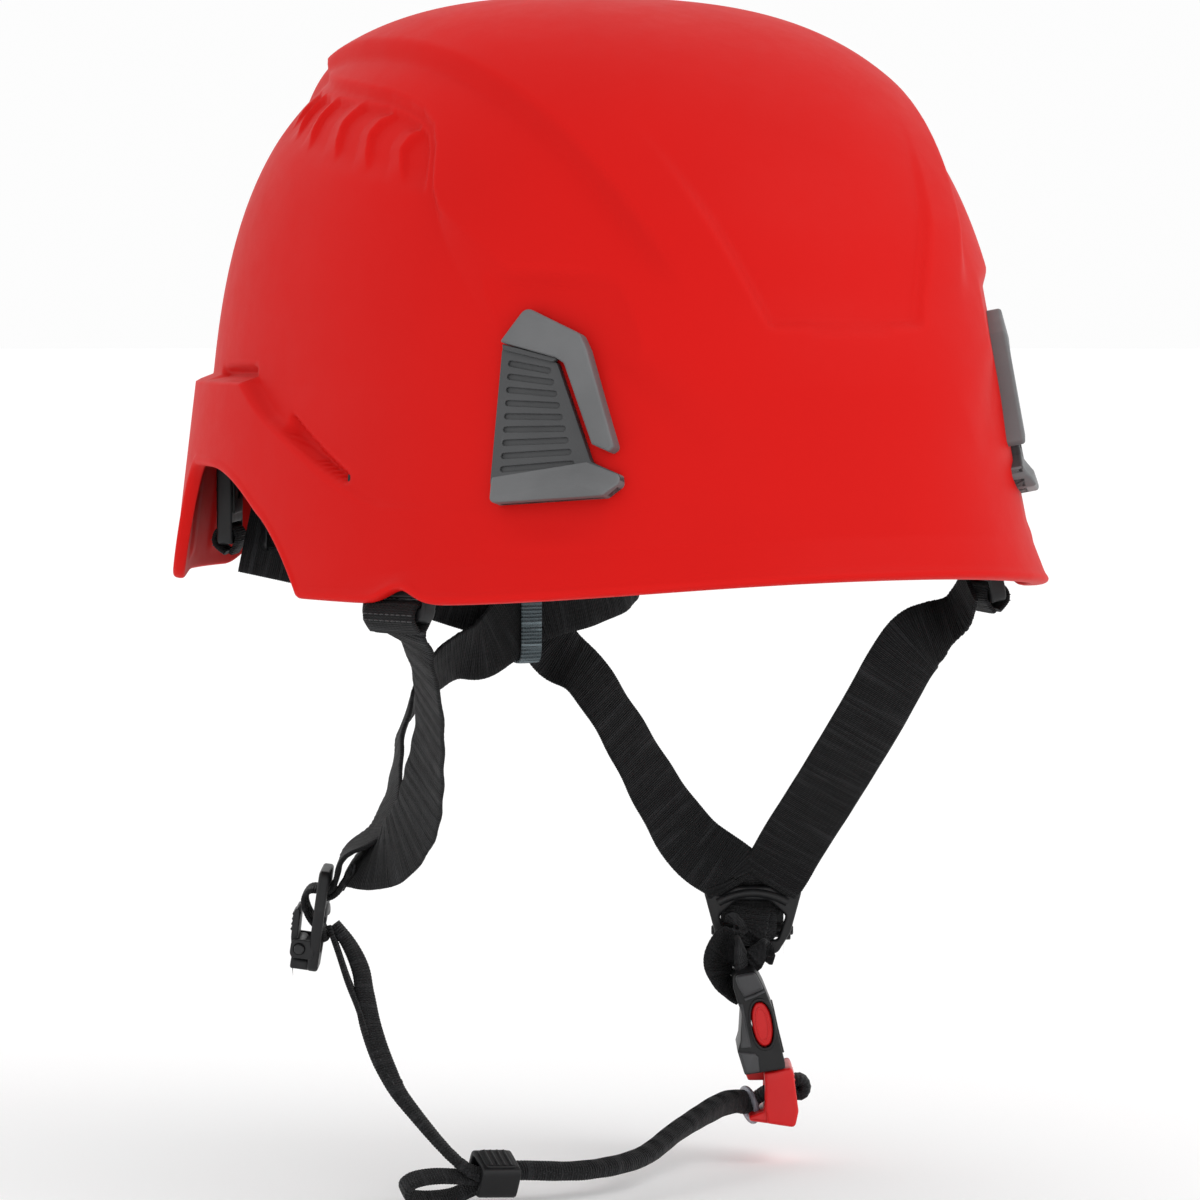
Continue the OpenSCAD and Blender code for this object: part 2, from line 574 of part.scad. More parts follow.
module buckle_tongue() {
  color([0.84, 0.14, 0.14]) buckle_place() translate([0, 0, -socket_l / 2 - 0.4]) {
    difference() {
      translate([0, 0, -7.5]) bar([8.4, buckle_w - 2, 15], 3);
      translate([0, 0, -11]) cube([12, 13, 4], center = true);
    }
    translate([-2, -2.4, 0]) cube([4, 4.8, 20]);
  }
}
// Two springy prongs with side pads that show in the socket's windows
module prong_solid() {
  translate([0, 0, -socket_l / 2 + 0.05]) {
    translate([-2.2, 5.4, 0.6]) cube([4.4, 2.2, 10]);
    translate([-2.6, 6.5, 6.5]) cube([5.2, 4.4, 12]);
    translate([0, 6.5, 1.4]) rotate([0, 90, 0]) cylinder(h = 4.4, r = 1.4, $fn = 24, center = true);
  }
}
module prong_rear() { color([0.84, 0.14, 0.14]) buckle_place() prong_solid(); }
module prong_front() {
  color([0.84, 0.14, 0.14]) buckle_place() mirror([0, 1, 0]) prong_solid();
}
module keeper_ring() {
  color([0.6, 0.6, 0.65]) translate([65, 16.7, -157.8]) rotate([0, 0, -2]) rotate([0, 94, 0])
    rotate_extrude($fn = 40) translate([5.6, 0]) circle(r = 0.95, $fn = 16);
}

// Chin strap from the right divider under the chin to the tongue; straight at the slider
chin_dir = unit([16, -2.5, -1]);
chin_mid = [-41, -14.28, -165.91];
function along_chin(d) = chin_mid + chin_dir * d;
module chin_strap() {
  color([0.1, 0.1, 0.1]) ribbon(
    [[-74.2, 24, -110.4], [-73.2, 19, -119], [-69, 9, -138], [-59.5, -4, -155],
     along_chin(-8), along_chin(8), along_chin(28), [8, -14.5, -166.4], [29, -2, -161.7],
     [50, 10, -158], [60, 15.5, -157], [64.6, 17.2, -158], [67.3, 16, -159.2]],
    [[0.5, 0.86, 0], [0.5, 0.8, 0.3], [0.4, 0.8, 0.4], [0.3, 0.9, 0.4], [0, 0.91, 0.41],
     [0, 0.91, 0.41], [0, 0.91, 0.41], [0, 0.9, 0.4], [0, 0.9, 0.4], [0.05, 0.95, 0.3],
     [0.1, 0.95, 0.1], [0.4, 0.9, 0], [0.515, 0.857, 0]], chin_w, chin_t, 3);
}
module chin_place(d) {
  translate(along_chin(d)) rotate([0, 0, -8.88]) rotate([0, 3.53, 0]) rotate([24.3, 0, 0])
    children();
}
module chin_tail() {
  color([0.1, 0.1, 0.1]) chin_place(0) ribbon(
    [[5, 0, -3], [-5, 0, -3], [-16, 0, -2.8], [-26, 0.6, -3.6]],
    [for (i = [0:3]) [0, 1, 0]], chin_w, 1.4, 3);
}
module strap_slider() {
  color([0.06, 0.06, 0.06]) chin_place(0) translate([0, 0, -1.25]) difference() {
    rotate([0, 90, 0]) bar([10.4, 13, 12], 2.5);
    cube([20, chin_w + 2, 8], center = true);
  }
}

shell();
impact_liner();
clip_right();
clip_left();
headband();
brow_pad();
cradle_webbing();
crown_pad();
cradle_hangers();
pivot_right();
pivot_left();
nape_cradle();
nape_pad();
band_arm_right();
band_arm_left();
rack_right();
rack_left();
ratchet_housing();
ratchet_cover();
ratchet_spring();
pinion();
ratchet_knob();
front_anchor_right();
front_anchor_left();
rear_anchor_right();
rear_anchor_left();
front_strap_right();
front_strap_left();
rear_strap_right();
rear_strap_left();
crossing_band();
divider_right();
divider_left();
divider_pin_right();
divider_pin_left();
divider_lever_right();
divider_lever_left();
buckle_webbing();
buckle_socket();
buckle_tongue();
prong_front();
prong_rear();
keeper_ring();
chin_strap();
chin_tail();
strap_slider();
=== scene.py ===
# Climbing helmet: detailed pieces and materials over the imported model. Sizes in millimetres unless said.
import bpy, bmesh, math
import numpy as np
from mathutils import Matrix, Vector


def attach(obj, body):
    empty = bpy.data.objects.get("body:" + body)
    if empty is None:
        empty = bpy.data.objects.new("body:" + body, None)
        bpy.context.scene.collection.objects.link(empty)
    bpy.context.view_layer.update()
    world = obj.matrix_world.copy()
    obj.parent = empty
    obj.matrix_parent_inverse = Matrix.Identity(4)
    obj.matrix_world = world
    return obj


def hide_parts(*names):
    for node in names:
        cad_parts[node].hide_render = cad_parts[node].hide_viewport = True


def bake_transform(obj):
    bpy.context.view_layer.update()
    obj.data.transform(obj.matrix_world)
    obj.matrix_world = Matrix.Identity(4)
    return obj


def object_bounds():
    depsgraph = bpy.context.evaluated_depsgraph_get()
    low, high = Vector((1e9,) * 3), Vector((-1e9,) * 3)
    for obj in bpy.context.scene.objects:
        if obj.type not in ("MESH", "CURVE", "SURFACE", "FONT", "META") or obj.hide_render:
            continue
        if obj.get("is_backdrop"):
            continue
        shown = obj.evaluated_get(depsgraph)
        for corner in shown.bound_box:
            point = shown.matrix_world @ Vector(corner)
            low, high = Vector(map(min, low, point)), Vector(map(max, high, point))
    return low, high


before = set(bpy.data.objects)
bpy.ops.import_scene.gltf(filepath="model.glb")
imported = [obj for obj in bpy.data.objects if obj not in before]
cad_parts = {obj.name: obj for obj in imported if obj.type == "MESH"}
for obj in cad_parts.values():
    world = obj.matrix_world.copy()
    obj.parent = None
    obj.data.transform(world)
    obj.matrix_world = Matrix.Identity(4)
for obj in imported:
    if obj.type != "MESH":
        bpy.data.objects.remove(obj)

cad_lo, cad_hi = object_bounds()
MM = 0.001


# ---------- small maths ----------
def ease(v):
    t = np.clip(v, 0.0, 1.0)
    return t * t * (3 - 2 * t)


def clamp(v):
    return np.clip(v, 0.0, 1.0)


def mix(a, b, t):
    return a + (b - a) * t


def spow(v, e):
    return np.sign(v) * np.abs(v) ** e


def unit(v):
    v = np.asarray(v, float)
    return v / np.maximum(np.linalg.norm(v, axis=-1, keepdims=True), 1e-12)


def T(*v):
    return Matrix.Translation(Vector(v))


def R(axis, deg):
    return Matrix.Rotation(math.radians(deg), 4, axis)


MIRROR = Matrix.Diagonal((-1, 1, 1, 1))


def curve_pts(ctrl, n):
    """Catmull-Rom line through the control points, n steps between each pair."""
    c = np.asarray(ctrl, float)
    out = []
    for i in range(len(c) - 1):
        a, b, d, e = c[max(0, i - 1)], c[i], c[i + 1], c[min(len(c) - 1, i + 2)]
        for j in range(n):
            t = j / n
            out.append(0.5 * (2 * b + (d - a) * t + (2 * a - 5 * b + 4 * d - e) * t * t
                              + (3 * b - 3 * d + e - a) * t ** 3))
    out.append(c[-1])
    return np.array(out)


def even(p, step, *others):
    """Resample a line, and the values that go with it, to even steps."""
    s = np.concatenate([[0], np.cumsum(np.linalg.norm(np.diff(p, axis=0), axis=1))])
    n = max(2, int(round(s[-1] / step)) + 1)
    q = np.linspace(0, s[-1], n)
    take = lambda v: np.stack([np.interp(q, s, v[:, k]) for k in range(v.shape[1])], 1)
    return (take(p), q) + tuple(take(o) for o in others)


def seg_dist(px, py, pts):
    """Distance from points to an open polyline, and the signed side (+ is left of its direction)."""
    best = np.full(np.shape(px), 1e9)
    side = np.zeros(np.shape(px))
    for (ax, ay), (bx, by) in zip(pts[:-1], pts[1:]):
        dx, dy = bx - ax, by - ay
        t = np.clip(((px - ax) * dx + (py - ay) * dy) / (dx * dx + dy * dy), 0, 1)
        ex, ey = px - ax - t * dx, py - ay - t * dy
        d = np.hypot(ex, ey)
        s = dx * ey - dy * ex
        side = np.where(d < best - 1e-9, np.sign(s), side)
        best = np.minimum(best, d)
    return best, side


def round_poly(pts, r, n=5):
    """Polygon with its corners rounded; r is one radius or one for each corner."""
    p = np.asarray(pts, float)
    m = len(p)
    rs = [r] * m if np.isscalar(r) else r
    out = []
    for i in range(m):
        a, b, c = p[i - 1], p[i], p[(i + 1) % m]
        u, v = unit(a - b), unit(c - b)
        half = math.acos(max(-1, min(1, float(u @ v)))) / 2
        k = min(rs[i] / max(math.tan(half), 1e-3), 0.46 * np.linalg.norm(a - b),
                0.46 * np.linalg.norm(c - b))
        if k < 0.02:
            out.append(b)
            continue
        for j in range(n + 1):
            t = j / n
            out.append((1 - t) ** 2 * (b + u * k) + 2 * t * (1 - t) * b + t * t * (b + v * k))
    return np.array(out)


def oval(cx, cy, rx, ry, n=32, e=2.0):
    a = np.linspace(0, 2 * math.pi, n, endpoint=False)
    return np.stack([cx + rx * spow(np.cos(a), 2 / e), cy + ry * spow(np.sin(a), 2 / e)], 1)


def pill(ax, ay, bx, by, r, n=6):
    d = unit(np.array([bx - ax, by - ay]))
    k = np.array([-d[1], d[0]])
    out = []
    for c, s in (((bx, by), 1), ((ax, ay), -1)):
        for j in range(n + 1):
            t = math.pi * (j / n - 0.5)
            out.append(np.array(c) + s * r * (math.cos(t) * d + math.sin(t) * k))
    return np.array(out)


# ---------- meshes and pieces ----------
def finish_mesh(me, smooth=True, angle=None):
    for p in me.polygons:
        p.use_smooth = smooth
    if smooth and angle is not None:
        me.set_sharp_from_angle(angle=math.radians(angle))
    me.update()
    return me


def from_data(name, v, f, place=None, smooth=True, angle=None, uv=None):
    me = bpy.data.meshes.new(name)
    me.from_pydata([tuple(x) for x in np.asarray(v, float)], [], [tuple(int(i) for i in x) for x in f])
    me.validate()
    if uv is not None:
        layer = me.uv_layers.new(name="UVMap")
        idx = np.empty(len(me.loops), int)
        me.loops.foreach_get("vertex_index", idx)
        layer.data.foreach_set("uv", np.asarray(uv, float)[idx].ravel())
    me.transform(Matrix.Scale(MM, 4) @ (place or Matrix.Identity(4)))
    if place is not None and place.to_3x3().determinant() < 0:
        me.flip_normals()
    return finish_mesh(me, smooth, angle)


def piece(name, me, body, mats, nodes=(), bevel=0, subsurf=0):
    ob = bpy.data.objects.new(name, me)
    bpy.context.scene.collection.objects.link(ob)
    for m in mats if isinstance(mats, (list, tuple)) else [mats]:
        me.materials.append(m)
    if bevel:
        b = ob.modifiers.new("edges", "BEVEL")
        b.width, b.segments, b.limit_method, b.angle_limit = bevel * MM, 2, "ANGLE", 0.6
    if subsurf:
        s = ob.modifiers.new("smooth", "SUBSURF")
        s.levels = s.render_levels = subsurf
    if body:
        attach(ob, body)
    if nodes:
        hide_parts(*([nodes] if isinstance(nodes, str) else nodes))
    return ob


def grid_faces(rows, cols, wrap=True, off=0):
    f = []
    for r in range(rows - 1):
        for c in range(cols if wrap else cols - 1):
            a, b = off + r * cols + c, off + r * cols + (c + 1) % cols
            f.append((a, b, b + cols, a + cols))
    return f


def mesh_parts(name, meshes):
    """Join finished meshes (in metres) into one, keeping the material index of each."""
    bm = bmesh.new()
    for me in meshes:
        me, idx = me if isinstance(me, tuple) else (me, 0)
        n = len(bm.faces)
        bm.from_mesh(me)
        bm.faces.ensure_lookup_table()
        for f in bm.faces[n:]:
            f.material_index = idx
        bpy.data.meshes.remove(me)
    out = bpy.data.meshes.new(name)
    bm.to_mesh(out)
    bm.free()
    return out


def fused(name, meshes, angle=None):
    """Several finished meshes as one smooth-shaded mesh."""
    return finish_mesh(mesh_parts(name, meshes), True, angle)


def plate(name, loops, z0, z1, place=None, bevel=0.4, res=3, angle=35, warp=None):
    """Outline with holes, extruded from z0 to z1 with rounded edges."""
    cu = bpy.data.curves.new(name, "CURVE")
    cu.dimensions, cu.fill_mode = "2D", "BOTH"
    for lp in loops:
        s = cu.splines.new("POLY")
        s.points.add(len(lp) - 1)
        for p, q in zip(s.points, lp):
            p.co = (q[0], q[1], 0, 1)
        s.use_cyclic_u = True
    cu.extrude, cu.bevel_depth, cu.bevel_resolution = (z1 - z0) / 2 - bevel, bevel, res
    cu.offset = -bevel
    ob = bpy.data.objects.new(name, cu)
    bpy.context.scene.collection.objects.link(ob)
    dg = bpy.context.evaluated_depsgraph_get()
    me = bpy.data.meshes.new_from_object(ob.evaluated_get(dg))
    bpy.data.objects.remove(ob)
    bpy.data.curves.remove(cu)
    me.name = name
    bm = bmesh.new()
    bm.from_mesh(me)
    bmesh.ops.remove_doubles(bm, verts=bm.verts, dist=0.01)
    bmesh.ops.translate(bm, verts=bm.verts, vec=(0, 0, (z0 + z1) / 2))
    bmesh.ops.recalc_face_normals(bm, faces=bm.faces)
    if warp:
        bmesh.ops.triangulate(bm, faces=[f for f in bm.faces if len(f.verts) > 4])
        for v in bm.verts:
            v.co = Vector(warp(v.co.x, v.co.y, v.co.z))
    bm.to_mesh(me)
    bm.free()
    me.transform(Matrix.Scale(MM, 4) @ (place or Matrix.Identity(4)))
    if place is not None and place.to_3x3().determinant() < 0:
        me.flip_normals()
    me.materials.clear()
    return finish_mesh(me, True, angle)


def lathe(name, profile, place=None, n=96, a0=0, a1=360, angle=35, wobble=None):
    """Revolve (radius, height) points about local Z."""
    prof = np.asarray(profile, float)
    full = abs(a1 - a0) >= 359.9
    a = np.radians(np.linspace(a0, a1, n, endpoint=not full))
    v, rows = [], len(prof)
    for r, h in prof:
        k = wobble(a, r, h) if wobble else r
        v.append(np.stack([k * np.cos(a), k * np.sin(a), np.full(n, h)], 1))
    f = grid_faces(rows, n, full)
    v = np.concatenate(v)
    return from_data(name, v, f, place, True, angle)


def tube(name, path, r, n=14, place=None, closed=False, caps=True, ry=None):
    """Round bar along a line; r may be one number or one for each point."""
    p = np.asarray(path, float)
    m = len(p)
    rr = np.full(m, float(r)) if np.isscalar(r) else np.asarray(r, float)
    d = unit(np.roll(p, -1, 0) - np.roll(p, 1, 0)) if closed else unit(np.gradient(p, axis=0))
    up = np.array([0, 0, 1.0]) if abs(d[0][2]) < 0.9 else np.array([1.0, 0, 0])
    x = unit(np.cross(d[0], up))
    v, a = [], np.linspace(0, 2 * math.pi, n, endpoint=False)
    for i in range(m):
        x = unit(x - d[i] * (x @ d[i]))
        y = np.cross(d[i], x)
        s = rr[i]
        v.append(p[i] + s * (np.outer(np.cos(a), x) + (1 if ry is None else ry) * np.outer(np.sin(a), y)))
    f = grid_faces(m, n)
    if closed:
        f += [((m - 1) * n + c, (m - 1) * n + (c + 1) % n, (c + 1) % n, c) for c in range(n)]
    elif caps:
        f += [tuple(range(n))[::-1], tuple((m - 1) * n + c for c in range(n))]
    return from_data(name, np.concatenate(v), f, place, True, 50)


def strap(name, path, dirs, w, t, steps=6, pitch=0.7, place=None, wav=0.0, wave_len=9.0,
          taper=None, thick=None, soft=0.35):
    """Flat webbing: rounded selvedges, fine cross ribs in the mesh, UV in millimetres along and across."""
    c, d = curve_pts(path, steps), curve_pts(dirs, steps)
    c, s, d = even(c, pitch / 2, d)
    m = len(c)
    along = unit(np.gradient(c, axis=0))
    b = unit(d - along * np.sum(d * along, 1, keepdims=True))
    h = np.cross(along, b)
    ang = np.linspace(0, 2 * math.pi, 28, endpoint=False)
    x, y = spow(np.cos(ang), soft), spow(np.sin(ang), max(soft, 0.62))
    rib = 1 + 0.05 * np.cos(2 * math.pi * s / pitch)
    ww = w / 2 * (1 + 0.006 * np.cos(2 * math.pi * s / pitch)) * (taper(s / s[-1]) if taper else 1)
    th = thick(s / s[-1]) if thick else None
    sway = wav * np.sin(2 * math.pi * s / wave_len)
    v, uv = [], []
    for i in range(m):
        tt = t / 2 * rib[i] * (1 + 0.10 * (np.abs(x) > 0.86)) * (1 if thick is None else th[i])
        lift = sway[i] * np.abs(x) ** 3 * np.sign(x)
        v.append(c[i] + np.outer(x * ww[i], b[i]) + np.outer(y * tt + lift, h[i]))
        uv.append(np.stack([np.full(28, s[i]), x * w / 2], 1))
    f = grid_faces(m, 28)
    f += [tuple(range(28))[::-1], tuple((m - 1) * 28 + k for k in range(28))]
    return from_data(name, np.concatenate(v), f, place, True, 70, np.concatenate(uv) * 1.0)


# ---------- materials ----------
class Mat:
    """A Principled material with procedural layers in object space (metres) or UV (millimetres)."""

    def __init__(self, name, color, rough, metal=0.0, spec=0.5, **extra):
        self.m = bpy.data.materials.new(name)
        self.m.use_nodes = True
        self.t = self.m.node_tree
        self.p = self.t.nodes["Principled BSDF"]
        self.color, self.rough = color, rough
        self.set(self.p, "Base Color", (*color, 1))
        self.set(self.p, "Roughness", rough)
        self.set(self.p, "Metallic", metal)
        self.set(self.p, "Specular IOR Level", spec)
        for k, v in extra.items():
            self.set(self.p, k.replace("_", " "), v)
        self.coord = self.t.nodes.new("ShaderNodeTexCoord")
        self.height = None

    @staticmethod
    def set(node, key, value):
        node.inputs[key].default_value = value

    def new(self, kind, **props):
        n = self.t.nodes.new("ShaderNode" + kind)
        for k, v in props.items():
            setattr(n, k, v)
        return n

    def link(self, a, b):
        self.t.links.new(a, b)

    def noise(self, scale, detail=4.0, rough=0.55, src="Object", stretch=None, distort=0.0):
        n = self.new("TexNoise")
        self.set(n, "Scale", scale)
        self.set(n, "Detail", detail)
        self.set(n, "Roughness", rough)
        self.set(n, "Distortion", distort)
        out = self.coord.outputs[src]
        if stretch:
            k = self.new("Mapping")
            self.set(k, "Scale", stretch)
            self.link(out, k.inputs["Vector"])
            out = k.outputs["Vector"]
        self.link(out, n.inputs["Vector"])
        return n.outputs["Fac"]

    def voronoi(self, scale, feature="F1", src="Object", rand=1.0):
        n = self.new("TexVoronoi", feature=feature)
        self.set(n, "Scale", scale)
        self.set(n, "Randomness", rand)
        self.link(self.coord.outputs[src], n.inputs["Vector"])
        return n.outputs["Distance"]

    def math(self, op, a, b=None, c=None, clamp=False):
        n = self.new("Math", operation=op, use_clamp=clamp)
        for i, v in enumerate((a, b, c)):
            if v is None:
                continue
            if isinstance(v, (int, float)):
                n.inputs[i].default_value = v
            else:
                self.link(v, n.inputs[i])
        return n.outputs[0]

    def span(self, v, lo, hi, a=0.0, b=1.0, smooth=False):
        n = self.new("MapRange")
        if smooth:
            n.interpolation_type = "SMOOTHSTEP"
        self.link(v, n.inputs[0])
        for i, x in zip((1, 2, 3, 4), (lo, hi, a, b)):
            n.inputs[i].default_value = x
        return n.outputs[0]

    def tint(self, fac, a, b, first=None):
        """Mix colours a and b by fac; the result becomes the base colour."""
        n = self.new("Mix", data_type="RGBA")
        self.link(fac, n.inputs["Factor"])
        n.inputs[6].default_value = (*a, 1)
        n.inputs[7].default_value = (*b, 1)
        if first is not None:
            self.link(first, n.inputs[6])
        self.link(n.outputs[2], self.p.inputs["Base Color"])
        return n.outputs[2]

    def gloss(self, fac, a, b):
        out = self.span(fac, 0.25, 0.75, a, b)
        self.link(out, self.p.inputs["Roughness"])

    def bump(self, height, distance, strength=1.0):
        n = self.new("Bump")
        self.set(n, "Strength", strength)
        self.set(n, "Distance", distance)
        self.link(height, n.inputs["Height"])
        if self.height is not None:
            self.link(self.height, n.inputs["Normal"])
        self.height = n.outputs["Normal"]
        self.link(self.height, self.p.inputs["Normal"])

    def uv_axes(self):
        n = self.new("SeparateXYZ")
        self.link(self.coord.outputs["UV"], n.inputs[0])
        return n.outputs[0], n.outputs[1]

    def sine(self, v, period, phase=0.0):
        k = self.math("MULTIPLY_ADD", v, 2 * math.pi / period, phase)
        return self.math("SINE", k)


def plastic(name, color, rough, grain=0.00002, grain_scale=2600.0, wear=0.25, spec=0.5, var=0.12,
            **extra):
    """Moulded plastic: spark-eroded grain, soft colour drift, rubbed edges."""
    m = Mat(name, color, rough, spec=spec, **extra)
    c = np.array(color)
    drift = m.noise(38.0, 3.0)
    base = m.tint(m.span(drift, 0.3, 0.7), tuple(c * (1 - var)), tuple(np.minimum(c * (1 + var), 1)))
    geo = m.new("NewGeometry")
    edge = m.span(geo.outputs["Pointiness"], 0.52, 0.60, 0.0, wear)
    rub = m.math("MULTIPLY", edge, m.span(m.noise(420.0, 5.0), 0.35, 0.65))
    m.tint(rub, color, tuple(np.minimum(c * 1.5 + 0.035, 1)), base)
    fine = m.noise(grain_scale, 2.0, 0.6)
    m.gloss(m.noise(160.0, 6.0, 0.65), rough - 0.05, rough + 0.07)
    m.bump(fine, grain)
    m.bump(m.noise(60.0, 2.0), 0.00004)
    return m.m


def shell_material(name, color, rough):
    """Satin thermoplastic: fine grain, faint flow in the colour, small scuffs, ridges and edges lightened
    partly by rub wear and partly as a painted highlight.
    """
    m = Mat(name, color, rough, spec=0.07)
    c = np.array(color)
    drift = m.noise(9.0, 3.0, 0.5)
    base = m.tint(m.span(drift, 0.3, 0.7), tuple(c * 0.955), tuple(c * 1.035))
    geo = m.new("NewGeometry")
    # painted highlight, partly rub wear: every convex ridge and the rim edge are lightened evenly, as if
    # catching the light
    edge = m.span(geo.outputs["Pointiness"], 0.505, 0.545, 0.0, 0.30)
    base = m.tint(edge, color, tuple(np.minimum(c * 1.14 + np.array([0.015, 0.003, 0.003]), 1)), base)
    scuff = m.span(m.noise(240.0, 8.0, 0.7, stretch=(1, 0.12, 0.6), distort=0.4), 0.68, 0.80, 0, 0.10)
    m.tint(scuff, color, tuple(np.minimum(c * 1.08 + 0.015, 1)), base)
    m.gloss(m.noise(120.0, 8.0, 0.7), rough - 0.045, rough + 0.06)
    m.bump(m.noise(3000.0, 2.0, 0.5), 0.000010)
    m.bump(m.noise(900.0, 2.0, 0.5), 0.000012)
    m.bump(m.noise(26.0, 1.0, 0.4), 0.00010)
    return m.m


def webbing_material(name, dark, light, pitch=0.62, warp=1.25, rough=0.72, depth=0.00016,
                     heather=0.0, half=10.0):
    """Woven polyester webbing: cross ribs, warp rows, selvedge lines and stray fibres. UV in mm."""
    m = Mat(name, dark, rough, spec=0.2, Sheen_Weight=0.05, Sheen_Roughness=0.45)
    u, v = m.uv_axes()
    shift = m.math("MULTIPLY", m.noise(900.0, 2.0), 0.25)
    rib = m.sine(m.math("ADD", u, shift), pitch)
    row = m.sine(v, warp)
    alt = m.math("MULTIPLY", rib, row)
    weave = m.math("MULTIPLY_ADD", alt, 0.35, m.math("MULTIPLY", rib, 0.65))
    fac = m.span(weave, -1.0, 1.0)
    base = m.tint(fac, tuple(np.array(dark) * 0.55), light)
    if heather:
        spots = m.span(m.noise(2600.0, 4.0, 0.7, stretch=(1, 1, 1)), 0.52, 0.66, 0, heather)
        base = m.tint(spots, dark, tuple(np.minimum(np.array(light) * 3.2 + 0.03, 1)), base)
    edge = m.math("ABSOLUTE", v)
    line = m.span(edge, half * 0.80, half * 0.83, 0, 0.5)
    base = m.tint(line, dark, tuple(np.array(light) * 0.9), base)
    creases = m.noise(0.42, 3.0, 0.65, src="UV", stretch=(1, 0.05, 1))
    # painted highlight: the crests of the creases are lightened as if catching the light
    ridge = m.span(creases, 0.52, 0.66, 0, 0.6)
    m.tint(ridge, dark, tuple(np.minimum(np.array(light) * 2.4 + 0.006, 1)), base)
    m.bump(creases, 0.0009)
    lint = m.noise(5200.0, 3.0, 0.7)
    m.gloss(m.noise(300.0, 4.0), rough - 0.06, rough + 0.12)
    m.bump(lint, 0.00003)
    m.bump(weave, depth)
    return m.m


def knit_material(name, color, light, scale=1.0, rough=0.9, depth=0.00022):
    """Padded knit: small hexagonal loops without UVs, fuzz, soft colour drift."""
    m = Mat(name, color, rough, spec=0.2, Sheen_Weight=0.35, Sheen_Roughness=0.6)
    cells = m.voronoi(620.0 * scale, "SMOOTH_F1", rand=0.35)
    fac = m.span(cells, 0.1, 0.75)
    base = m.tint(fac, light, tuple(np.array(color) * 0.45))
    m.tint(m.span(m.noise(70.0, 4.0), 0.4, 0.7, 0, 0.25), color, tuple(np.array(light) * 0.7), base)
    m.gloss(m.noise(500.0, 3.0), rough - 0.06, rough + 0.05)
    m.bump(m.noise(4200.0, 3.0, 0.7), 0.00006)
    m.bump(m.math("SUBTRACT", 1.0, cells), depth)
    return m.m


def foam_material(name, color, rough=0.8):
    """Expanded bead foam: pressed beads with darker joints and pinholes."""
    m = Mat(name, color, rough, spec=0.25)
    beads = m.voronoi(300.0, "F1")
    joints = m.voronoi(300.0, "DISTANCE_TO_EDGE")
    c = np.array(color)
    base = m.tint(m.span(joints, 0.0, 0.12), tuple(c * 0.35), tuple(c * 1.15))
    m.tint(m.span(m.noise(90.0, 4.0), 0.35, 0.7, 0, 0.4), color, tuple(c * 0.7), base)
    m.gloss(m.noise(400.0, 3.0), rough - 0.12, rough + 0.08)
    m.bump(m.noise(1800.0, 3.0), 0.00006)
    m.bump(m.span(joints, 0.0, 0.2), 0.00025)
    m.bump(m.math("SUBTRACT", 1.0, beads), 0.00012)
    return m.m


def metal_material(name, color, rough, brush=(1, 1, 30)):
    m = Mat(name, color, rough, metal=1.0)
    n = m.noise(900.0, 5.0, 0.65, stretch=brush)
    c = np.array(color)
    m.tint(m.span(m.noise(120.0, 4.0), 0.3, 0.7), tuple(c * 0.8), tuple(np.minimum(c * 1.1, 1)))
    m.gloss(n, rough - 0.1, rough + 0.14)
    m.bump(n, 0.000012)
    return m.m


M = {
    "shell": shell_material("shell_satin_red", (0.585, 0.0072, 0.0056), 0.52),
    "shell_in": shell_material("shell_inside_red", (0.50, 0.0080, 0.0070), 0.55),
    "hood": plastic("clip_hood_grey", (0.110, 0.112, 0.115), 0.50, 0.00003, 2100.0, 0.25),
    "panel": plastic("clip_panel_grey", (0.044, 0.045, 0.047), 0.56, 0.00004, 1900.0, 0.3),
    "black": plastic("moulded_black", (0.0055, 0.0058, 0.0066), 0.46, 0.00003, 2200.0, 0.35, spec=0.34),
    "gloss_black": plastic("smooth_black", (0.007, 0.0075, 0.0085), 0.32, 0.00001, 2600.0, 0.3, spec=0.34),
    "grey_face": plastic("buckle_face_grey", (0.036, 0.037, 0.040), 0.45, 0.00003, 2200.0, 0.3),
    "red": plastic("tongue_red", (0.60, 0.008, 0.009), 0.36, 0.00001, 2600.0, 0.2, var=0.06, spec=0.3),
    "white": plastic("pinion_natural", (0.62, 0.60, 0.54), 0.42, 0.00001, 2000.0, 0.1, var=0.05),
    "web": webbing_material("harness_webbing", (0.0022, 0.0023, 0.0027), (0.0105, 0.0108, 0.0118)),
    "chin": webbing_material("chin_webbing", (0.0024, 0.0025, 0.0030), (0.0125, 0.0128, 0.0140), 0.8, 1.5,
                             0.78, 0.00022, 0.55, 4.5),
    "band": webbing_material("crossing_elastic", (0.070, 0.095, 0.105), (0.14, 0.175, 0.19), 1.1, 0.9,
                             0.7, 0.00025, 0.0, 16.0),
    "pad": knit_material("pad_knit", (0.020, 0.021, 0.023), (0.050, 0.052, 0.056)),
    "pad_dark": knit_material("pad_edge", (0.012, 0.012, 0.014), (0.028, 0.029, 0.031), 1.6),
    "foam": foam_material("liner_foam", (0.030, 0.031, 0.033)),
    "steel": metal_material("pin_steel", (0.60, 0.60, 0.62), 0.28),
    "brass": metal_material("rivet_brass", (0.68, 0.50, 0.24), 0.30),
}
ring = Mat("ring_smoke", (0.34, 0.34, 0.40), 0.16, spec=0.5, Transmission_Weight=0.55, IOR=1.46)
ring.gloss(ring.noise(180.0, 4.0), 0.10, 0.26)
ring.tint(ring.span(ring.noise(60.0, 3.0), 0.3, 0.7), (0.28, 0.28, 0.34), (0.42, 0.42, 0.47))
ring.bump(ring.noise(300.0, 2.0), 0.00002)
M["ring"] = ring.m
thread = Mat("stitch_thread", (0.11, 0.112, 0.118), 0.62, spec=0.3, Sheen_Weight=0.2)
thread.tint(thread.span(thread.noise(800.0, 3.0), 0.3, 0.7), (0.020, 0.0205, 0.022), (0.045, 0.046, 0.049))
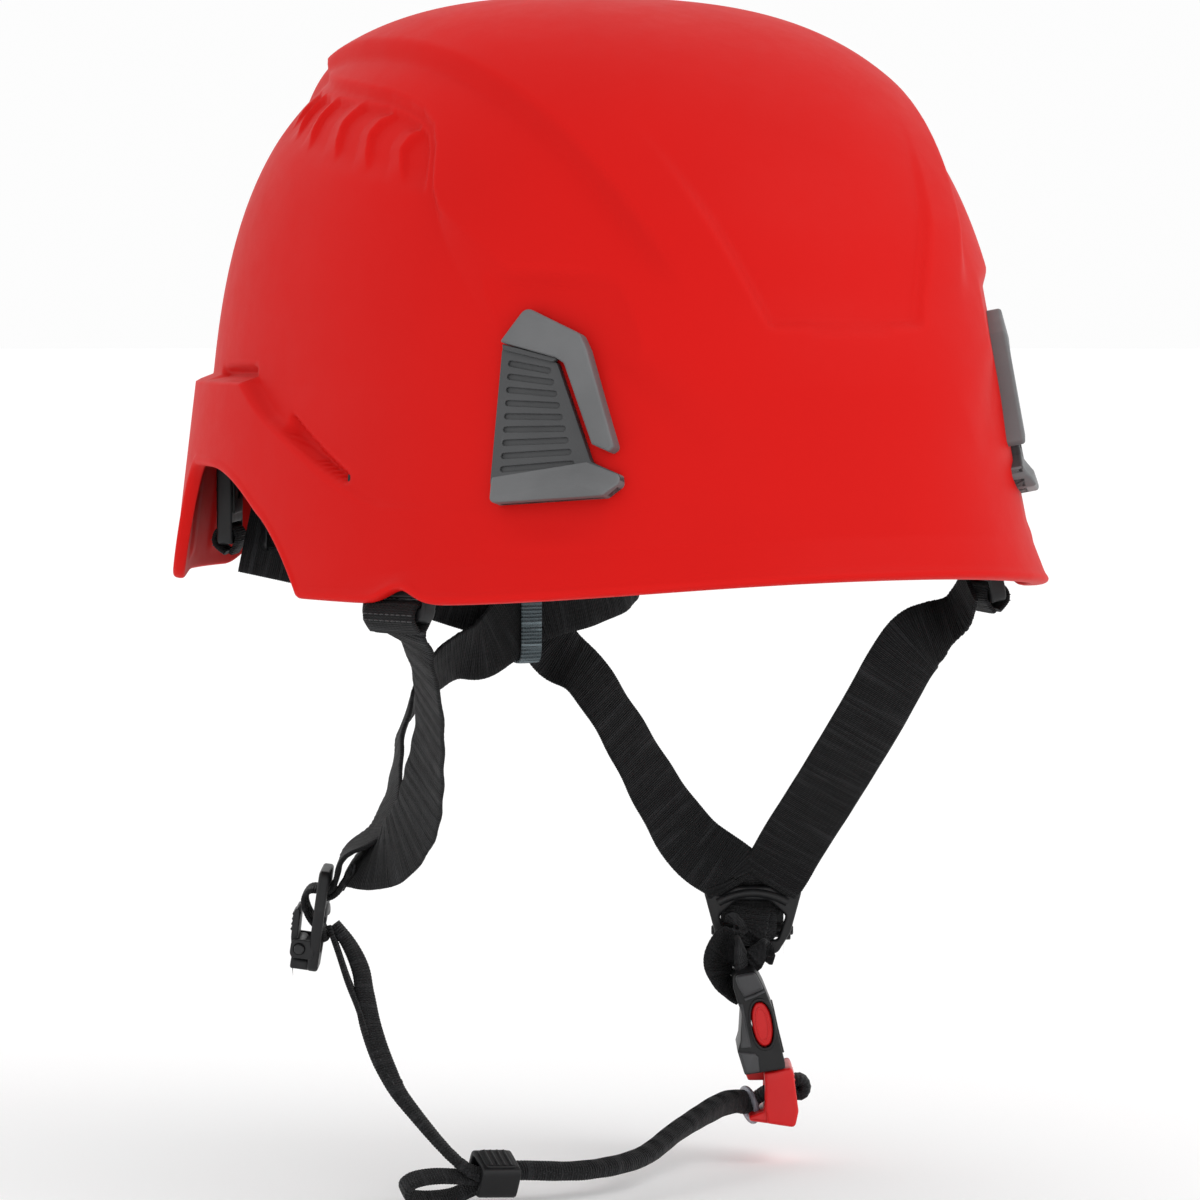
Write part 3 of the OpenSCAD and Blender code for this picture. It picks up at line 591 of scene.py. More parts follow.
thread.gloss(thread.noise(1400.0, 3.0), 0.55, 0.75)
thread.bump(thread.noise(6000.0, 2.0, stretch=(1, 1, 3)), 0.00006)
M["thread"] = thread.m


# ---------- shell: the CAD's surface, repeated finely with its small features ----------
HALF_W, FRONT, REAR, LEVEL, CROWN, WALL = 101.0, 142.0, 129.0, 62.0, 167.5, 3.2
CLIP_F, CLIP_Z, CLIP_TURN, CLIP_TILT = 43.5, 57.0, 53.6, 11.0


def body_pt(f, z):
    fr = np.radians(f)
    t = clamp((z - LEVEL) / (CROWN - LEVEL))
    gs = np.maximum(0, 1 - t ** 3.05) ** (1 / 3.05)
    gl = np.maximum(0, 1 - t ** 2.26) ** (1 / 2.26)
    s, k = t - 0.45 * t ** 3, np.maximum(0, (LEVEL - z) / LEVEL)
    fore = np.cos(fr) > 0
    length, lean = np.where(fore, FRONT, REAR), np.where(fore, 0.21, 0.20)
    flare = np.where(fore, 12.8, 11.7)
    x = (HALF_W * gs * (1 - 0.05 * s) + 11.7 * k) * spow(np.sin(fr), 2 / 2.22)
    y = -(length * gl * (1 - lean * s) + flare * k) * spow(np.cos(fr), 2 / 2.22)
    up = np.maximum(0, z - LEVEL) / (CROWN - LEVEL)
    n = np.stack([x / HALF_W ** 2, y / length ** 2, (0.12 + up * up * 0.9) / (CROWN - LEVEL) + 0 * x], -1)
    return np.stack([x, y, z + 0 * x], -1), unit(n)


def rim_z(f):
    a = np.abs(f)
    return (2.6 + 7.7 * np.maximum(0, np.cos(np.radians(np.minimum(90, 1.35 * a)))) ** 1.5
            + 4 * np.exp(-((a - 65.5) / 3) ** 2)
            + 34.6 * (1 - (1 - clamp((a - 82) / 24)) ** 2.4) * (1 - ease((a - 111) / 16))
            + 2 * ease((a - 127) / 8) + 13 * ease((a - 150) / 16))


def crown_half(y):
    return np.where(y < -10, 69 - 20.5 * ((-10 - y) / 105) ** 2, 69 - 28 * ((y + 10) / 120) ** 2)


def crown_panel(p, soft=8.0):
    x, y, z = p[..., 0], p[..., 1], p[..., 2]
    return 4.0 * ease((crown_half(y) - np.abs(x) + soft / 2) / soft) * ease((z - np.where(y < 0, 82,
                                                                                          88)) / 26)


PANEL_LINE = [(-30, 49), (20, 49.5), (36, 73), (61, 111.5), (62.2, 116), (62.2, 127.5), (63.2, 133),
              (66, 137.2),
              (70, 140), (76, 142.5), (92, 146), (128, 152), (184, 158)]
FACET_LINE = [(62.6, 117), (61.4, 107), (60, 99.5), (57.5, 90), (55, 83), (52, 77.5), (46, 71), (36, 66)]
DEG = 1.6


def scaled(pts):
    return [(a * DEG, z) for a, z in pts]


def side_features(a, z):
    """Raised side panel with its sloped facet, the sunk bed and its louvre ribs."""
    s = a * DEG
    d, side = seg_dist(s, z, scaled(PANEL_LINE))
    sd = d * side
    w = 0.95 + 30 * clamp((42 - a) / 42) ** 1.3
    step = ease(sd / (2 * w) + 0.5)
    dl, sl = seg_dist(s, z, scaled(FACET_LINE))
    between = (sd < 0) & (sl < 0) & (a < 62.6)
    facet = np.where(sd >= 0, 1.0, np.where(between, dl / (d + dl + 1e-6), 0.0))
    fw = ease((62.4 - a) / 1.6) * ease((a - 37) / 8)
    h = 2.2 * mix(step, facet, fw)
    inside = ease((a - 62.4) / 0.8) * ease((122 - a) / 12)
    bottom = 113 + 0.32 * (a - 62)
    bed = -1.7 * ease((-sd - 2.6) / 1.5) * ease((z - bottom) / 9) * inside * ease((-sd + 3) / 3)
    ribs = np.zeros_like(h)
    for k in range(6):
        ka, kz = 70.4 + 8.6 * k, 128.2 + 5.2 * k - 0.55 * k * k
        line = scaled([(ka - 1.8, 117.5 + 3.5 * k), (ka - 0.6, kz - 5), (ka, kz), (ka - 1.5, kz + 3),
                       (ka - 4.4, kz + 5.4)])
        r, rs = seg_dist(s, z, line)
        wide = np.where(rs > 0, 1.0, 5.2)
        ribs = np.maximum(ribs, 1.55 * np.maximum(0, 1 - r / wide) ** 0.9
                          * ease((z - (117.5 + 3.5 * k)) / 7) * ease((kz + 6.5 - z) / 2.5))
    return h, bed + ribs * inside * ease((-sd - 2.6) / 1.2)


def collar_z(a):
    return np.where(a > 97, 62.5, 29.5 + 33 * clamp((a - 70) / 27) ** 1.35)


def collar(a, z, soft=4.0):
    return (5 * mix(0.2, 1, ease((a - 62) / 36)) * ease((a - 48) / 18)
            * ease((collar_z(a) - z) / soft + 0.5) * (1 - 0.9 * clamp((LEVEL - z) / LEVEL)))


def collar_slots(a, z):
    q = z - collar_z(a)
    wide = mix(0.9, 2.3, clamp((a - 76) / 11))
    lower = ease((a - 75.4) / 1.4) * ease((88.4 - a) / 1.2) * ease((wide - np.abs(q - 2.6)) / 0.9 + 0.5)
    wide = mix(2.0, 0.8, clamp((a - 97) / 15))
    upper = ease((a - 96.4) / 1.4) * ease((112 - a) / 2) * ease((wide - np.abs(q - 1.9)) / 0.9 + 0.5)
    return -2.7 * np.maximum(lower, upper)


def crease_z(a):
    return 22 - 11 * (a / 68) ** 2


def lip(a, z):
    return 2.2 * (1 - ease((a - 62) / 14)) * clamp((crease_z(a) - z) / (crease_z(a) - rim_z(a) + 0.01))


def brow_recess(p, a):
    x, z = np.abs(p[..., 0]), p[..., 2]
    return np.where(a > 60, 0, -1.8 * ease((24 + 13 * (z - 79) / 39 - x) / 2.4 + 0.5)
                    * ease((z - 77.6) / 2.2) * (1 - ease((z - 98) / 38))
                    - 0.5 * ease((13 - x) / 2) * ease((z - 76.2) / 0.8) * ease((79.5 - z) / 0.8))


cc, _ = body_pt(np.array(-CLIP_F), np.array(CLIP_Z))
tr, tl = math.radians(CLIP_TURN), math.radians(CLIP_TILT)
clip_n = np.array([-math.cos(tl) * math.sin(tr), -math.cos(tl) * math.cos(tr), math.sin(tl)])
clip_fwd = np.array([math.cos(tr), -math.sin(tr), 0.0])
clip_up = np.cross(clip_n, clip_fwd)


def seat(q, side):
    """Flatten the skin to the clip's seat."""
    m = np.stack([-np.abs(q[..., 0]), q[..., 1], q[..., 2]], -1) - cc
    h = m @ clip_n + 0.8
    mask = ease((31 - np.abs(m @ clip_fwd)) / 6) * ease((39 - np.abs(m @ clip_up)) / 7)
    nn = np.stack([clip_n[0] * np.where(side > 0, -1, 1), clip_n[1] + 0 * side, clip_n[2] + 0 * side], -1)
    return q - nn * (np.maximum(0, h) * mask)[..., None]


def outer_skin(f, z):
    a = np.abs(f)
    p, n = body_pt(f, z)
    h, fine = side_features(a, z)
    d = (crown_panel(p, 5.5) + h + fine + collar(a, z, 3.2) + collar_slots(a, z) + lip(a, z)
         + brow_recess(p, a) + 0.35 * ease((rim_z(f) + 3.4 - z) / 1.4))
    return seat(p + n * d[..., None], p[..., 0])


def side_panel_cad(a, z):
    edge = mix(70 + 1.875 * (np.maximum(a, 24) - 35), 134 + 0.3 * (a - 58), ease((a - 55) / 6))
    return 2.2 * ease((z - edge) / np.where(a > 38, 6, 6 + (38 - a) * 1.6) + 0.5)


def inner_skin(f, z):
    a = np.abs(f)
    p, n = body_pt(f, z)
    d = 0.85 * (crown_panel(p) + side_panel_cad(a, z) + collar(a, z)) - WALL
    low = ease((44 - z) / 5)
    ribs = 0.7 * ease(np.cos(np.radians(a * 30)) * 3 - 1.2) * ease((a - 124) / 3) * low
    pocket = -0.9 * ease((a - 150) / 1.5) * ease((172 - a) / 1.5) * ease((34 - z) / 1.5)
    return p + n * (d - ribs * ease((z - rim_z(f) - 5) / 2) + 0 * pocket)[..., None]


def make_shell():
    dens = lambda f: 1 + 0.95 * ease((np.abs(f) - 44) / 8) * ease((124 - np.abs(f)) / 8)
    fs = np.linspace(-180, 180, 3601)
    cum = np.concatenate([[0], np.cumsum((dens(fs[1:]) + dens(fs[:-1])) / 2)])
    cols = 720
    f = np.interp(np.linspace(0, cum[-1], cols, endpoint=False), cum, fs)
    low, top = ((60, 132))
    edge_h = 1.4

    def rows(skin, nlow, ntop):
        out = []
        r0 = rim_z(f) + edge_h
        for i in range(nlow + 1):
            t = i / nlow
            out.append(skin(f, mix(r0, LEVEL, t ** 1.05)))
        for i in range(1, ntop + 1):
            th = math.radians(89.6 * (i / ntop) ** 1.12)
            out.append(skin(f, np.full_like(f, LEVEL + (CROWN - LEVEL) * math.sin(th) ** 0.8)))
        return out

    outer = rows(outer_skin, low, top)
    inner = rows(inner_skin, low // 2, top // 2)
    mid, half = (outer[0] + inner[0]) / 2, (outer[0] - inner[0]) / 2
    lipr = []
    for j in range(1, 8):
        t = math.pi * j / 8
        lipr.append(mid + half * spow(math.cos(t), 0.8) - np.array([0, 0, edge_h]) * math.sin(t) ** 0.8)
    stack = outer[::-1] + lipr + inner
    v = np.concatenate([s for s in stack] + [[[0, 0, CROWN + 6.2]], [[0, 0, CROWN - WALL + 0.85 * 6.2]]])
    n, m = cols, len(stack)
    faces = [(b, a2, d2, c2) for (a2, b, c2, d2) in
             [(r * n + c, r * n + (c + 1) % n, (r + 1) * n + (c + 1) % n, (r + 1) * n + c)
              for r in range(m - 1) for c in range(n)]]
    faces = [(w, x, y, z)[::1] for (w, x, y, z) in faces]
    ti, bi = m * n, m * n + 1
    faces += [(ti, c, (c + 1) % n) for c in range(n)]
    faces += [(bi, (m - 1) * n + (c + 1) % n, (m - 1) * n + c) for c in range(n)]
    me = from_data("shell_skin", v, faces)
    bm = bmesh.new()
    bm.from_mesh(me)
    bmesh.ops.recalc_face_normals(bm, faces=bm.faces)
    bm.to_mesh(me)
    bm.free()
    inner_from = len(outer) - 1 + len(lipr)
    idx = np.zeros(len(me.polygons), int)
    quads = (m - 1) * n
    idx[:quads] = (np.arange(quads) // n >= inner_from).astype(int)
    idx[quads + n:] = 1
    ob = piece("shell_moulded", me, "helmet", [M["shell"], M["shell_in"]], "shell")
    me.polygons.foreach_set("material_index", idx)
    return ob


make_shell()


# ---------- lamp clips ----------
CLIP = T(*[float(c) for c in cc]) @ R("Z", -CLIP_TURN) @ R("X", 90 - CLIP_TILT) @ T(0, 0, -0.7)


def make_clip(side, place):
    panel = round_poly([[-18.5, 16], [-19, -21], [-17.5, -27], [15, -24.5], [19, -21], [18.5, -18.3],
                        [10, -15], [-2, 12]], [1, 1, 2.2, 2.2, 2, 1, 2, 1.5])
    grooves = []
    for i in range(9):
        y0, x1 = 11.6 - 3.62 * i, -4.4 + 1.1 * i
        y1 = y0 - 1.9 + 0.46 * i
        grooves.append(pill(-15.6, y0, x1, y1, 0.78))
    hood = round_poly([[-18.6, 17.2], [-12, 27], [4.7, 19.6], [7, 15.5], [17, -11], [15.5, -12.5],
                       [10.5, -10.5], [0.6, 11.5], [-2, 13]], [0.6, 3, 3, 4, 1.2, 1, 0.5, 2, 0.8])

    def crown(x, y, z):
        if z > 4:
            z += 0.35 - 0.55 * ease((y - 16) / 11) - 0.30 * ease((x - 9) / 9)
        return x, y, z

    base = round_poly([[-18.9, -19.6], [-17.5, -27], [15, -24.5], [19, -21], [18.5, -18.3], [9, -15]],
                      [0.2, 1.6, 1.8, 1.6, 0.8, 0.2])

    def grid_top(poly, z_of):
        """Top skin over a convex-ish outline with inner rows so that it can be curved."""
        c = poly.mean(0)
        rings = [np.concatenate([c + (poly - c) * k, np.zeros((len(poly), 1))], 1)
                 for k in (1.0, 0.985, 0.96, 0.9, 0.75, 0.5, 0.2)]
        for r in rings:
            r[:, 2] = [z_of(x, y) for x, y in r[:, :2]]
        rings[0][:, 2] -= 0.55
        rings[1][:, 2] -= 0.18
        bottom = rings[0].copy()
        bottom[:, 2] = 0
        v = np.concatenate([bottom] + rings)
        f = grid_faces(len(rings) + 1, len(poly))
        top = len(v) - len(poly)
        f.append(tuple(top + i for i in range(len(poly))))
        return v, f

    def base_z(x, y):
        ridge = np.interp(x, [-19, 9, 18.5], [-19.6, -15, -18.3])
        return 4.75 + 2.6 * ease((ridge - y) / 6.0) - 0.9 * ease((ridge - 6.6 - y) / 2.2)

    v, f = grid_top(base, base_z)
    place = place @ T(0, 0, -2.2)
    low = plate("clip_panel", [panel], 0, 3.8, place, 0.45)
    top = plate("clip_ridges", [panel] + grooves, 3.1, 4.62, place, 0.3)
    hk = plate("clip_hood", [hood], 0, 6.5, place, 1.0, 4, 40, crown)
    bs = from_data("clip_base", v, f, place, True, 38)
    lever = plate("clip_step", [round_poly([[-17.9, 15.2], [-3.0, 11.9], [-1.6, 12.9], [-18.2, 16.8]], 0.4)],
                  3.5, 5.6, place, 0.3)
    me = mesh_parts("clip_" + side, [(low, 0), (top, 0), (hk, 1), (bs, 1), (lever, 0)])
    finish_mesh(me, True, 38)
    piece("lamp_clip_" + side, me, "helmet", [M["panel"], M["hood"]], "clip_" + side)


make_clip("right", CLIP)
make_clip("left", MIRROR @ CLIP)


# ---------- harness ----------
def webbing(name, path, dirs, body, node, w=20.0, t=1.6, mat="web", slot="webbing", **kw):
    me = strap(name, path, dirs, w, t, **kw)
    return piece(name, me, body, M[mat], node)


# each strap: points along its middle line in mm, then the direction across it at each point
FRONT_R = ([[-93.8, -60, 2], [-95.2, -59.5, -5.5], [-90.7, -57.5, -10.7], [-85.4, -53.7, -20.3],
           [-80.6, -47.2, -30.6], [-76.9, -40.1, -40.9], [-73.2, -30.7, -51.6], [-69.2, -17.9, -62.6],
           [-67.1, -1.7, -72.5], [-66.8, 21.4, -78.8], [-69.7, 23.2, -83.9]],
          [[-0.29, 0.96, 0], [-0.04, 1, 0], [0.19, 0.98, 0], [0.23, 0.97, 0], [0.21, 0.98, 0],
           [0.15, 0.99, 0.05], [0.04, 0.99, 0.12], [-0.02, 0.95, 0.3], [0.05, 0.91, 0.42],
           [0.42, 0.9, 0.08], [0.52, 0.86, 0]])
FRONT_L = ([[93.8, -60, 2], [92.6, -55.6, -5.9], [88.3, -49.5, -11.4], [85.1, -40.6, -18.3],
           [83.9, -22.4, -39.1], [82, -2.6, -61.4], [79.9, 12.6, -78.6]],
          [[0.29, 0.96, 0], [0.12, 0.99, 0.1], [-0.19, 0.93, 0.31], [-0.52, 0.73, 0.43],
           [-0.7, 0.54, 0.48], [-0.75, 0.45, 0.48], [-0.72, 0.45, 0.52]])
REAR_R = ([[-72.2, 81.4, 14], [-54, 65, 9], [-34, 48, 2.5], [-18, 40.8, -3], [0, 39.5, -8],
           [11, 38.9, -19.8], [19.6, 36.1, -27.2], [29.6, 33.5, -42.3], [44.2, 31.8, -66.2],
           [55.2, 31, -80.6]],
          [[0, 0.1, 1], [0.1, 0.1, 1], [0.2, 0.1, 1], [0.2, 0, 1], [0.35, 0, 0.9], [0.71, 0.22, 0.67],
           [0.84, 0.36, 0.41], [0.87, 0.37, 0.32], [0.86, 0.2, 0.46], [0.8, -0.1, 0.6]])
REAR_L = ([[72.2, 81.4, 14], [54, 62, 8], [36, 42, 1.5], [20, 36.2, -3], [0, 36.6, -8],
           [-14.5, 35.5, -17.5], [-24.7, 35.8, -20.1], [-34.5, 34.7, -25.7], [-41.2, 33, -32.4],
           [-46.6, 30.3, -40.9], [-50.4, 26.8, -50], [-54.2, 23.2, -59.2], [-59.2, 21.6, -68.5],
           [-69.8, 23.3, -76.3], [-71.7, 24.4, -82.1]],
          [[0, 0.1, 1], [-0.1, 0.1, 1], [-0.2, 0.1, 1], [-0.2, 0, 1], [-0.35, 0, 0.9],
           [-0.55, -0.25, 0.8], [-0.68, -0.54, 0.51], [-0.66, -0.69, 0.28], [-0.59, -0.8, 0.1],
           [-0.45, -0.9, 0], [-0.43, -0.9, 0], [-0.33, -0.94, -0.05], [-0.33, -0.94, -0.1],
           [-0.47, -0.88, 0], [-0.52, -0.86, 0]])


def run_in(way, place, points, across):
    """Carry a strap on into a divider's slot, in the divider's own frame."""
    turn = place.to_3x3()
    for q in points:
        way[0].append(list(place @ Vector(q)))
        way[1].append(list(turn @ Vector(across)))


DIV_L = T(74, 27, -99.5) @ R("Z", -31)
DIV_R = T(-76, 27, -94.5) @ R("Z", 59) @ R("X", 8)
run_in(FRONT_L, DIV_L, [(8.2, -4.4, 12.6), (5.6, -2.2, 8.4), (4.2, 0.2, 6.6)], (-0.83, 0, 0.55))
run_in(REAR_R, DIV_L, [(-7.4, -2.6, 10.6), (-5.6, -1.2, 8.0), (-4.4, 0.4, 6.6)], (0.82, 0, 0.57))
run_in(FRONT_R, DIV_R, [(0, -4.4, 9.0), (0, -2.4, 7.4), (0, 0.2, 6.8)], (1, 0, 0))
run_in(REAR_L, DIV_R, [(0, -2.9, 10.8), (0, -1.6, 8.9), (0, 0.6, 8.3)], (-1, 0, 0))

webbing("front_strap_r", *FRONT_R, "helmet", "front_strap_right", wav=0.22, wave_len=12)
webbing("front_strap_l", *FRONT_L, "helmet", "front_strap_left", wav=0.25, wave_len=15)
webbing("rear_strap_r", *REAR_R, "helmet", "rear_strap_right", wav=0.25, wave_len=17)
webbing("rear_strap_l", *REAR_L, "helmet", "rear_strap_left", wav=0.35, wave_len=14)

# elastic band round the crossing
loop = [[0, 38 + 3.4 * spow(math.cos(a), 0.5), -7.8 + 15.0 * spow(math.sin(a), 0.35)]
        for a in np.linspace(math.pi / 2, 2.5 * math.pi, 25)]
webbing("crossing_loop", loop, [[1, 0, 0.0]] * 25, "helmet", "crossing_band", 7.0, 1.0, "band",
        "band_elastic", steps=3)

PLATE_Y = Matrix(((0, 0, 1, 0), (1, 0, 0, 0), (0, 1, 0, 0), (0, 0, 0, 1)))  # plate x,y,z -> Y,Z,X


def make_anchor(name, place, node):
    rim = round_poly([[-12, -13.5], [12, -13.5], [12, 13.5], [-12, 13.5]], 3, 7)
    slot_ = round_poly([[-10.4, -9.8], [10.4, -9.8], [10.4, -7.2], [-10.4, -7.2]], 1.0, 4)
    inner = round_poly([[-9, -4.5], [9, -4.5], [9, 11], [-9, 11]], 2.4, 6)
    parts = [plate("a", [rim, slot_], -2.3, 2.3, place @ PLATE_Y, 0.7),
             plate("b", [inner, oval(0, 4.5, 5.2, 4.4)], -2.0, 2.75, place @ PLATE_Y, 0.35),
             plate("c", [inner, oval(0, 4.5, 5.2, 4.4)], -2.75, 2.0, place @ PLATE_Y, 0.35),
             lathe("d", [(0.01, 3.6), (2.3, 3.6), (3.0, 3.0), (3.0, -3.1), (2.2, -3.5), (1.4, -3.2),
                         (0.01, -3.2)], place @ T(0, 0, 7.5) @ R("Y", 90), 40)]
    me = fused(name, parts, 38)
    piece(name, me, "helmet", M["black"], node)


A_FRONT = T(96.6, -61, 11) @ R("Z", -17) @ R("Y", -10.5)
A_REAR = T(76, 84, 26.4) @ R("Z", 35)
make_anchor("front_anchor_l", A_FRONT, "front_anchor_left")
make_anchor("front_anchor_r", MIRROR @ A_FRONT, "front_anchor_right")
make_anchor("rear_anchor_l", A_REAR, "rear_anchor_left")
make_anchor("rear_anchor_r", MIRROR @ A_REAR, "rear_anchor_right")


# ---------- inside: liner, headband, cradle ----------
def ring_pt(f, off):
    fr = np.radians(f)
    return np.stack([(85 + off) * spow(np.sin(fr), 2 / 2.22),
                     2 - (108 + off) * spow(np.cos(fr), 2 / 2.22)], -1)


def on_ring(off, scale=1.65):
    def warp(x, y, z):
        p = ring_pt(x / scale, off + z)
        return float(p[0]), float(p[1]), y
    return warp


def dens(loop, step=2.5):
    """Extra points along an outline, so that it can be bent."""
    p, out = np.asarray(loop, float), []
    for a, b in zip(p, np.roll(p, -1, 0)):
        n = max(1, int(math.ceil(np.linalg.norm(b - a) / step)))
        out += [a + (b - a) * i / n for i in range(n)]
    return np.array(out)


def rect(x0, y0, x1, y1, r=1.0, n=4):
    return round_poly([[x0, y0], [x1, y0], [x1, y1], [x0, y1]], r, n)


def strap_frame(path, dirs, step=1.0, steps=6):
    c, d = curve_pts(path, steps), curve_pts(dirs, steps)
    c, s, d = even(c, step, d)
    along = unit(np.gradient(c, axis=0))
    b = unit(d - along * np.sum(d * along, 1, keepdims=True))
    return c, s, along, b, np.cross(along, b)


def stitches(name, points, along, normal, body, length=1.9, r=0.24, mat="thread"):
    """Short raised threads lying on a surface, one at each point."""
    parts = []
    for p, a, n in zip(points, along, normal):
        a = unit(a)
        q = [p - a * length / 2 - n * r, p - a * length / 4 + n * r * 0.3, p + a * length / 4 + n * r * 0.3,
             p + a * length / 2 - n * r]
        parts.append(tube("s", q, r, 6))
    return piece(name, fused(name, parts), body, M[mat])


def make_liner():
    n = 300
    f = np.linspace(-180, 180, n, endpoint=False)
    ups = [48 + 14 * t for t in np.linspace(0, 1, 6)[:-1]]
    ups += [LEVEL + (CROWN - LEVEL) * math.sin(math.radians(89.4 * t)) ** 0.8
            for t in np.linspace(0.02, 1, 46)]

    def row(z, off):
        p, nn = body_pt(f, np.full(n, float(z)))
        return p - nn * (off if np.isscalar(off) else off[:, None])

    def channels(z):
        p, _ = body_pt(f, np.full(n, float(z)))
        x = np.abs(p[:, 0])
        c = np.maximum.reduce([ease((4.5 - np.abs(x - k)) / 2.2) for k in (0, 27, 54)])
        cross = max(ease((3.5 - abs(z - k)) / 1.8) for k in (92, 128))
        return 21.6 - 4.5 * np.maximum(c, cross * 0.7) * ease((z - 56) / 6) - 1.6 * ease((54 - z) / 6)

    outer = [row(z, 3.6 + 1.2 * ease((53 - z) / 5)) for z in ups]
    inner = [row(z, channels(z)) for z in ups]
    lo_o, lo_i = outer[0], inner[0]
    edge = []
    for j in range(1, 6):
        t = math.pi * j / 6
        edge.append((lo_o + lo_i) / 2 + (lo_o - lo_i) / 2 * spow(math.cos(t), 0.5)
                    - np.array([0, 0, 1.9]) * math.sin(t) ** 0.6)
    stack = outer[::-1] + edge + inner
    v = np.concatenate(stack + [[[0, 0, CROWN - 3.6]], [[0, 0, CROWN - 21.6]]])
    fcs = [x[::-1] for x in grid_faces(len(stack), n)]
    ti = len(stack) * n
    fcs += [(ti, c, (c + 1) % n) for c in range(n)]
    fcs += [(ti + 1, (len(stack) - 1) * n + (c + 1) % n, (len(stack) - 1) * n + c) for c in range(n)]
    me = from_data("liner", v, fcs)
    bm = bmesh.new()
    bm.from_mesh(me)
    bmesh.ops.recalc_face_normals(bm, faces=bm.faces)
    bm.to_mesh(me)
    bm.free()
    piece("foam_liner", me, "helmet", M["foam"], "impact_liner")


make_liner()

# headband: slotted strip with a rolled upper edge and raised size notches at the ends
band = rect(-158.4, 14, 158.4, 38, 4, 6)
holes = [pill(s * k - 5, 32.6, s * k + 5, 32.6, 1.5) for k in (14, 40, 88, 108, 138) for s in (1, -1)]
holes += [pill(s * k - 4, 19.4, s * k + 4, 19.4, 1.5) for k in (26, 72, 98) for s in (1, -1)]
hb = plate("hb", [dens(band)] + [dens(h, 1.5) for h in holes], 0.05, 1.6, None, 0.4, 2, 40, on_ring(0))
roll = [np.array([*ring_pt(f, 0.75), 37.2]) for f in np.linspace(-94, 94, 90)]
low = [np.array([*ring_pt(f, 0.75), 14.8]) for f in np.linspace(-94, 94, 90)]
notch = [tube("n", [[*ring_pt(s * f, 1.7), 22], [*ring_pt(s * f, 1.7), 30]], 0.4, 6)
         for f in np.arange(84, 93, 1.5) for s in (1, -1)]
piece("headband_strip", fused("headband", [hb, tube("r", roll, 1.0, 10), tube("r", low, 0.9, 10)]
      + notch, 40), "helmet", M["gloss_black"], "headband")


def make_hangers():
    parts = []
    for f in (-74, -34, 34, 74):
        a = ring_pt(np.array(float(f)), 1.7)
        p, n = body_pt(np.array(float(f)), np.array(38.0))
        b = (p - n * 3.8)[:2]
        u = unit(b - a)
        v = np.array([-u[1], u[0]])
        L = float(np.linalg.norm(b - a))
        at = Matrix(((v[0], 0, u[0], a[0]), (v[1], 0, u[1], a[1]), (0, 1, 0, 0), (0, 0, 0, 1)))
        out = []
        for k in range(12):
            t = k / 11
            w = 5.0 + 1.6 * ease(t * 1.3 - 0.1) + 1.2 * ease(0.4 - t) * 0
            out.append((t, w))
        side = [[a[0] + u[0] * L * t + v[0] * w, a[1] + u[1] * L * t + v[1] * w] for t, w in out]
        back = [[a[0] + u[0] * L * t - v[0] * w, a[1] + u[1] * L * t - v[1] * w] for t, w in out][::-1]
        c = a + u * L * 0.5
        parts.append(plate("h", [np.array(side + back), oval(c[0], c[1], 2.0, 2.0, 24)], 26.2, 37.8, None,
                           0.7))
        for z in (29.5, 34.5):
            parts.append(lathe("rv", [(0.01, 0.9), (1.5, 0.8), (1.9, 0.2), (1.9, -1.0), (0.01, -1.0)],
                               at @ T(0, z, 0.0) @ T(0, 0, 0.2), 20))
    piece("hanger_arms", fused("hangers", parts, 38), "helmet", M["black"],
          "cradle_hangers")


make_hangers()


def make_cradle():
    arcs, tabs, thread = [], [], []
    for f, lift in ((-66, 0), (66, 1.6), (0, 3.2)):
        e, g = ring_pt(float(f), -0.9), ring_pt(float(f + 180), -0.9)
        side = [math.cos(math.radians(f)), math.sin(math.radians(f)), 0]
        half = [(1, 40), (0.9, 50), (0.8, 68), (0.62, 100), (0.32, 124 + lift)]
        path = ([[e[0] * k, e[1] * k, z] for k, z in half] + [[0, 0, 130 + lift]]
                + [[g[0] * k, g[1] * k, z] for k, z in half[::-1]])
        arcs.append(strap("arc", path, [side] * len(path), 18, 1.2))
        for q in (e, g):
            out = unit(np.array([q[0], q[1]]))
            at = Matrix(((side[0], 0.0, out[0], q[0]), (side[1], 0.0, out[1], q[1]),
                         (0.0, 1.0, 0.0, 0.0), (0, 0, 0, 1)))
            lean = at @ T(0, 43, -1.4) @ R("X", 14)
            tabs.append(plate("tab", [rect(-11, -6.5, 11, 6.5, 2.4), rect(-9.4, 1.6, 9.4, 3.8, 0.8)],
                              1.2, 2.8, lean, 0.5))
            tabs.append(plate("tab", [rect(-9.6, -5.6, 9.6, -1.6, 1.6)], 2.4, 3.5, lean, 0.4))
        c, s, al, b, h = strap_frame(path, [side] * len(path))
        for i in range(4, len(c) - 4, 3):
            if min(s[i], s[-1] - s[i]) < 16:
                thread += [(c[i] + b[i] * k - h[i] * 0.75, al[i], -h[i]) for k in (-7.4, 7.4)]
                thread += [(c[i] + b[i] * k + h[i] * 0.75, al[i], h[i]) for k in (-7.4, 7.4)]
    me = fused("arcs", arcs, 70)
    piece("cradle_straps", me, "helmet", M["web"], "cradle_webbing")
    piece("cradle_tabs", fused("tabs", tabs, 38), "helmet", M["black"])
    stitches("cradle_stitching", [t[0] for t in thread], [t[1] for t in thread], [t[2] for t in thread],
             "helmet")


make_cradle()


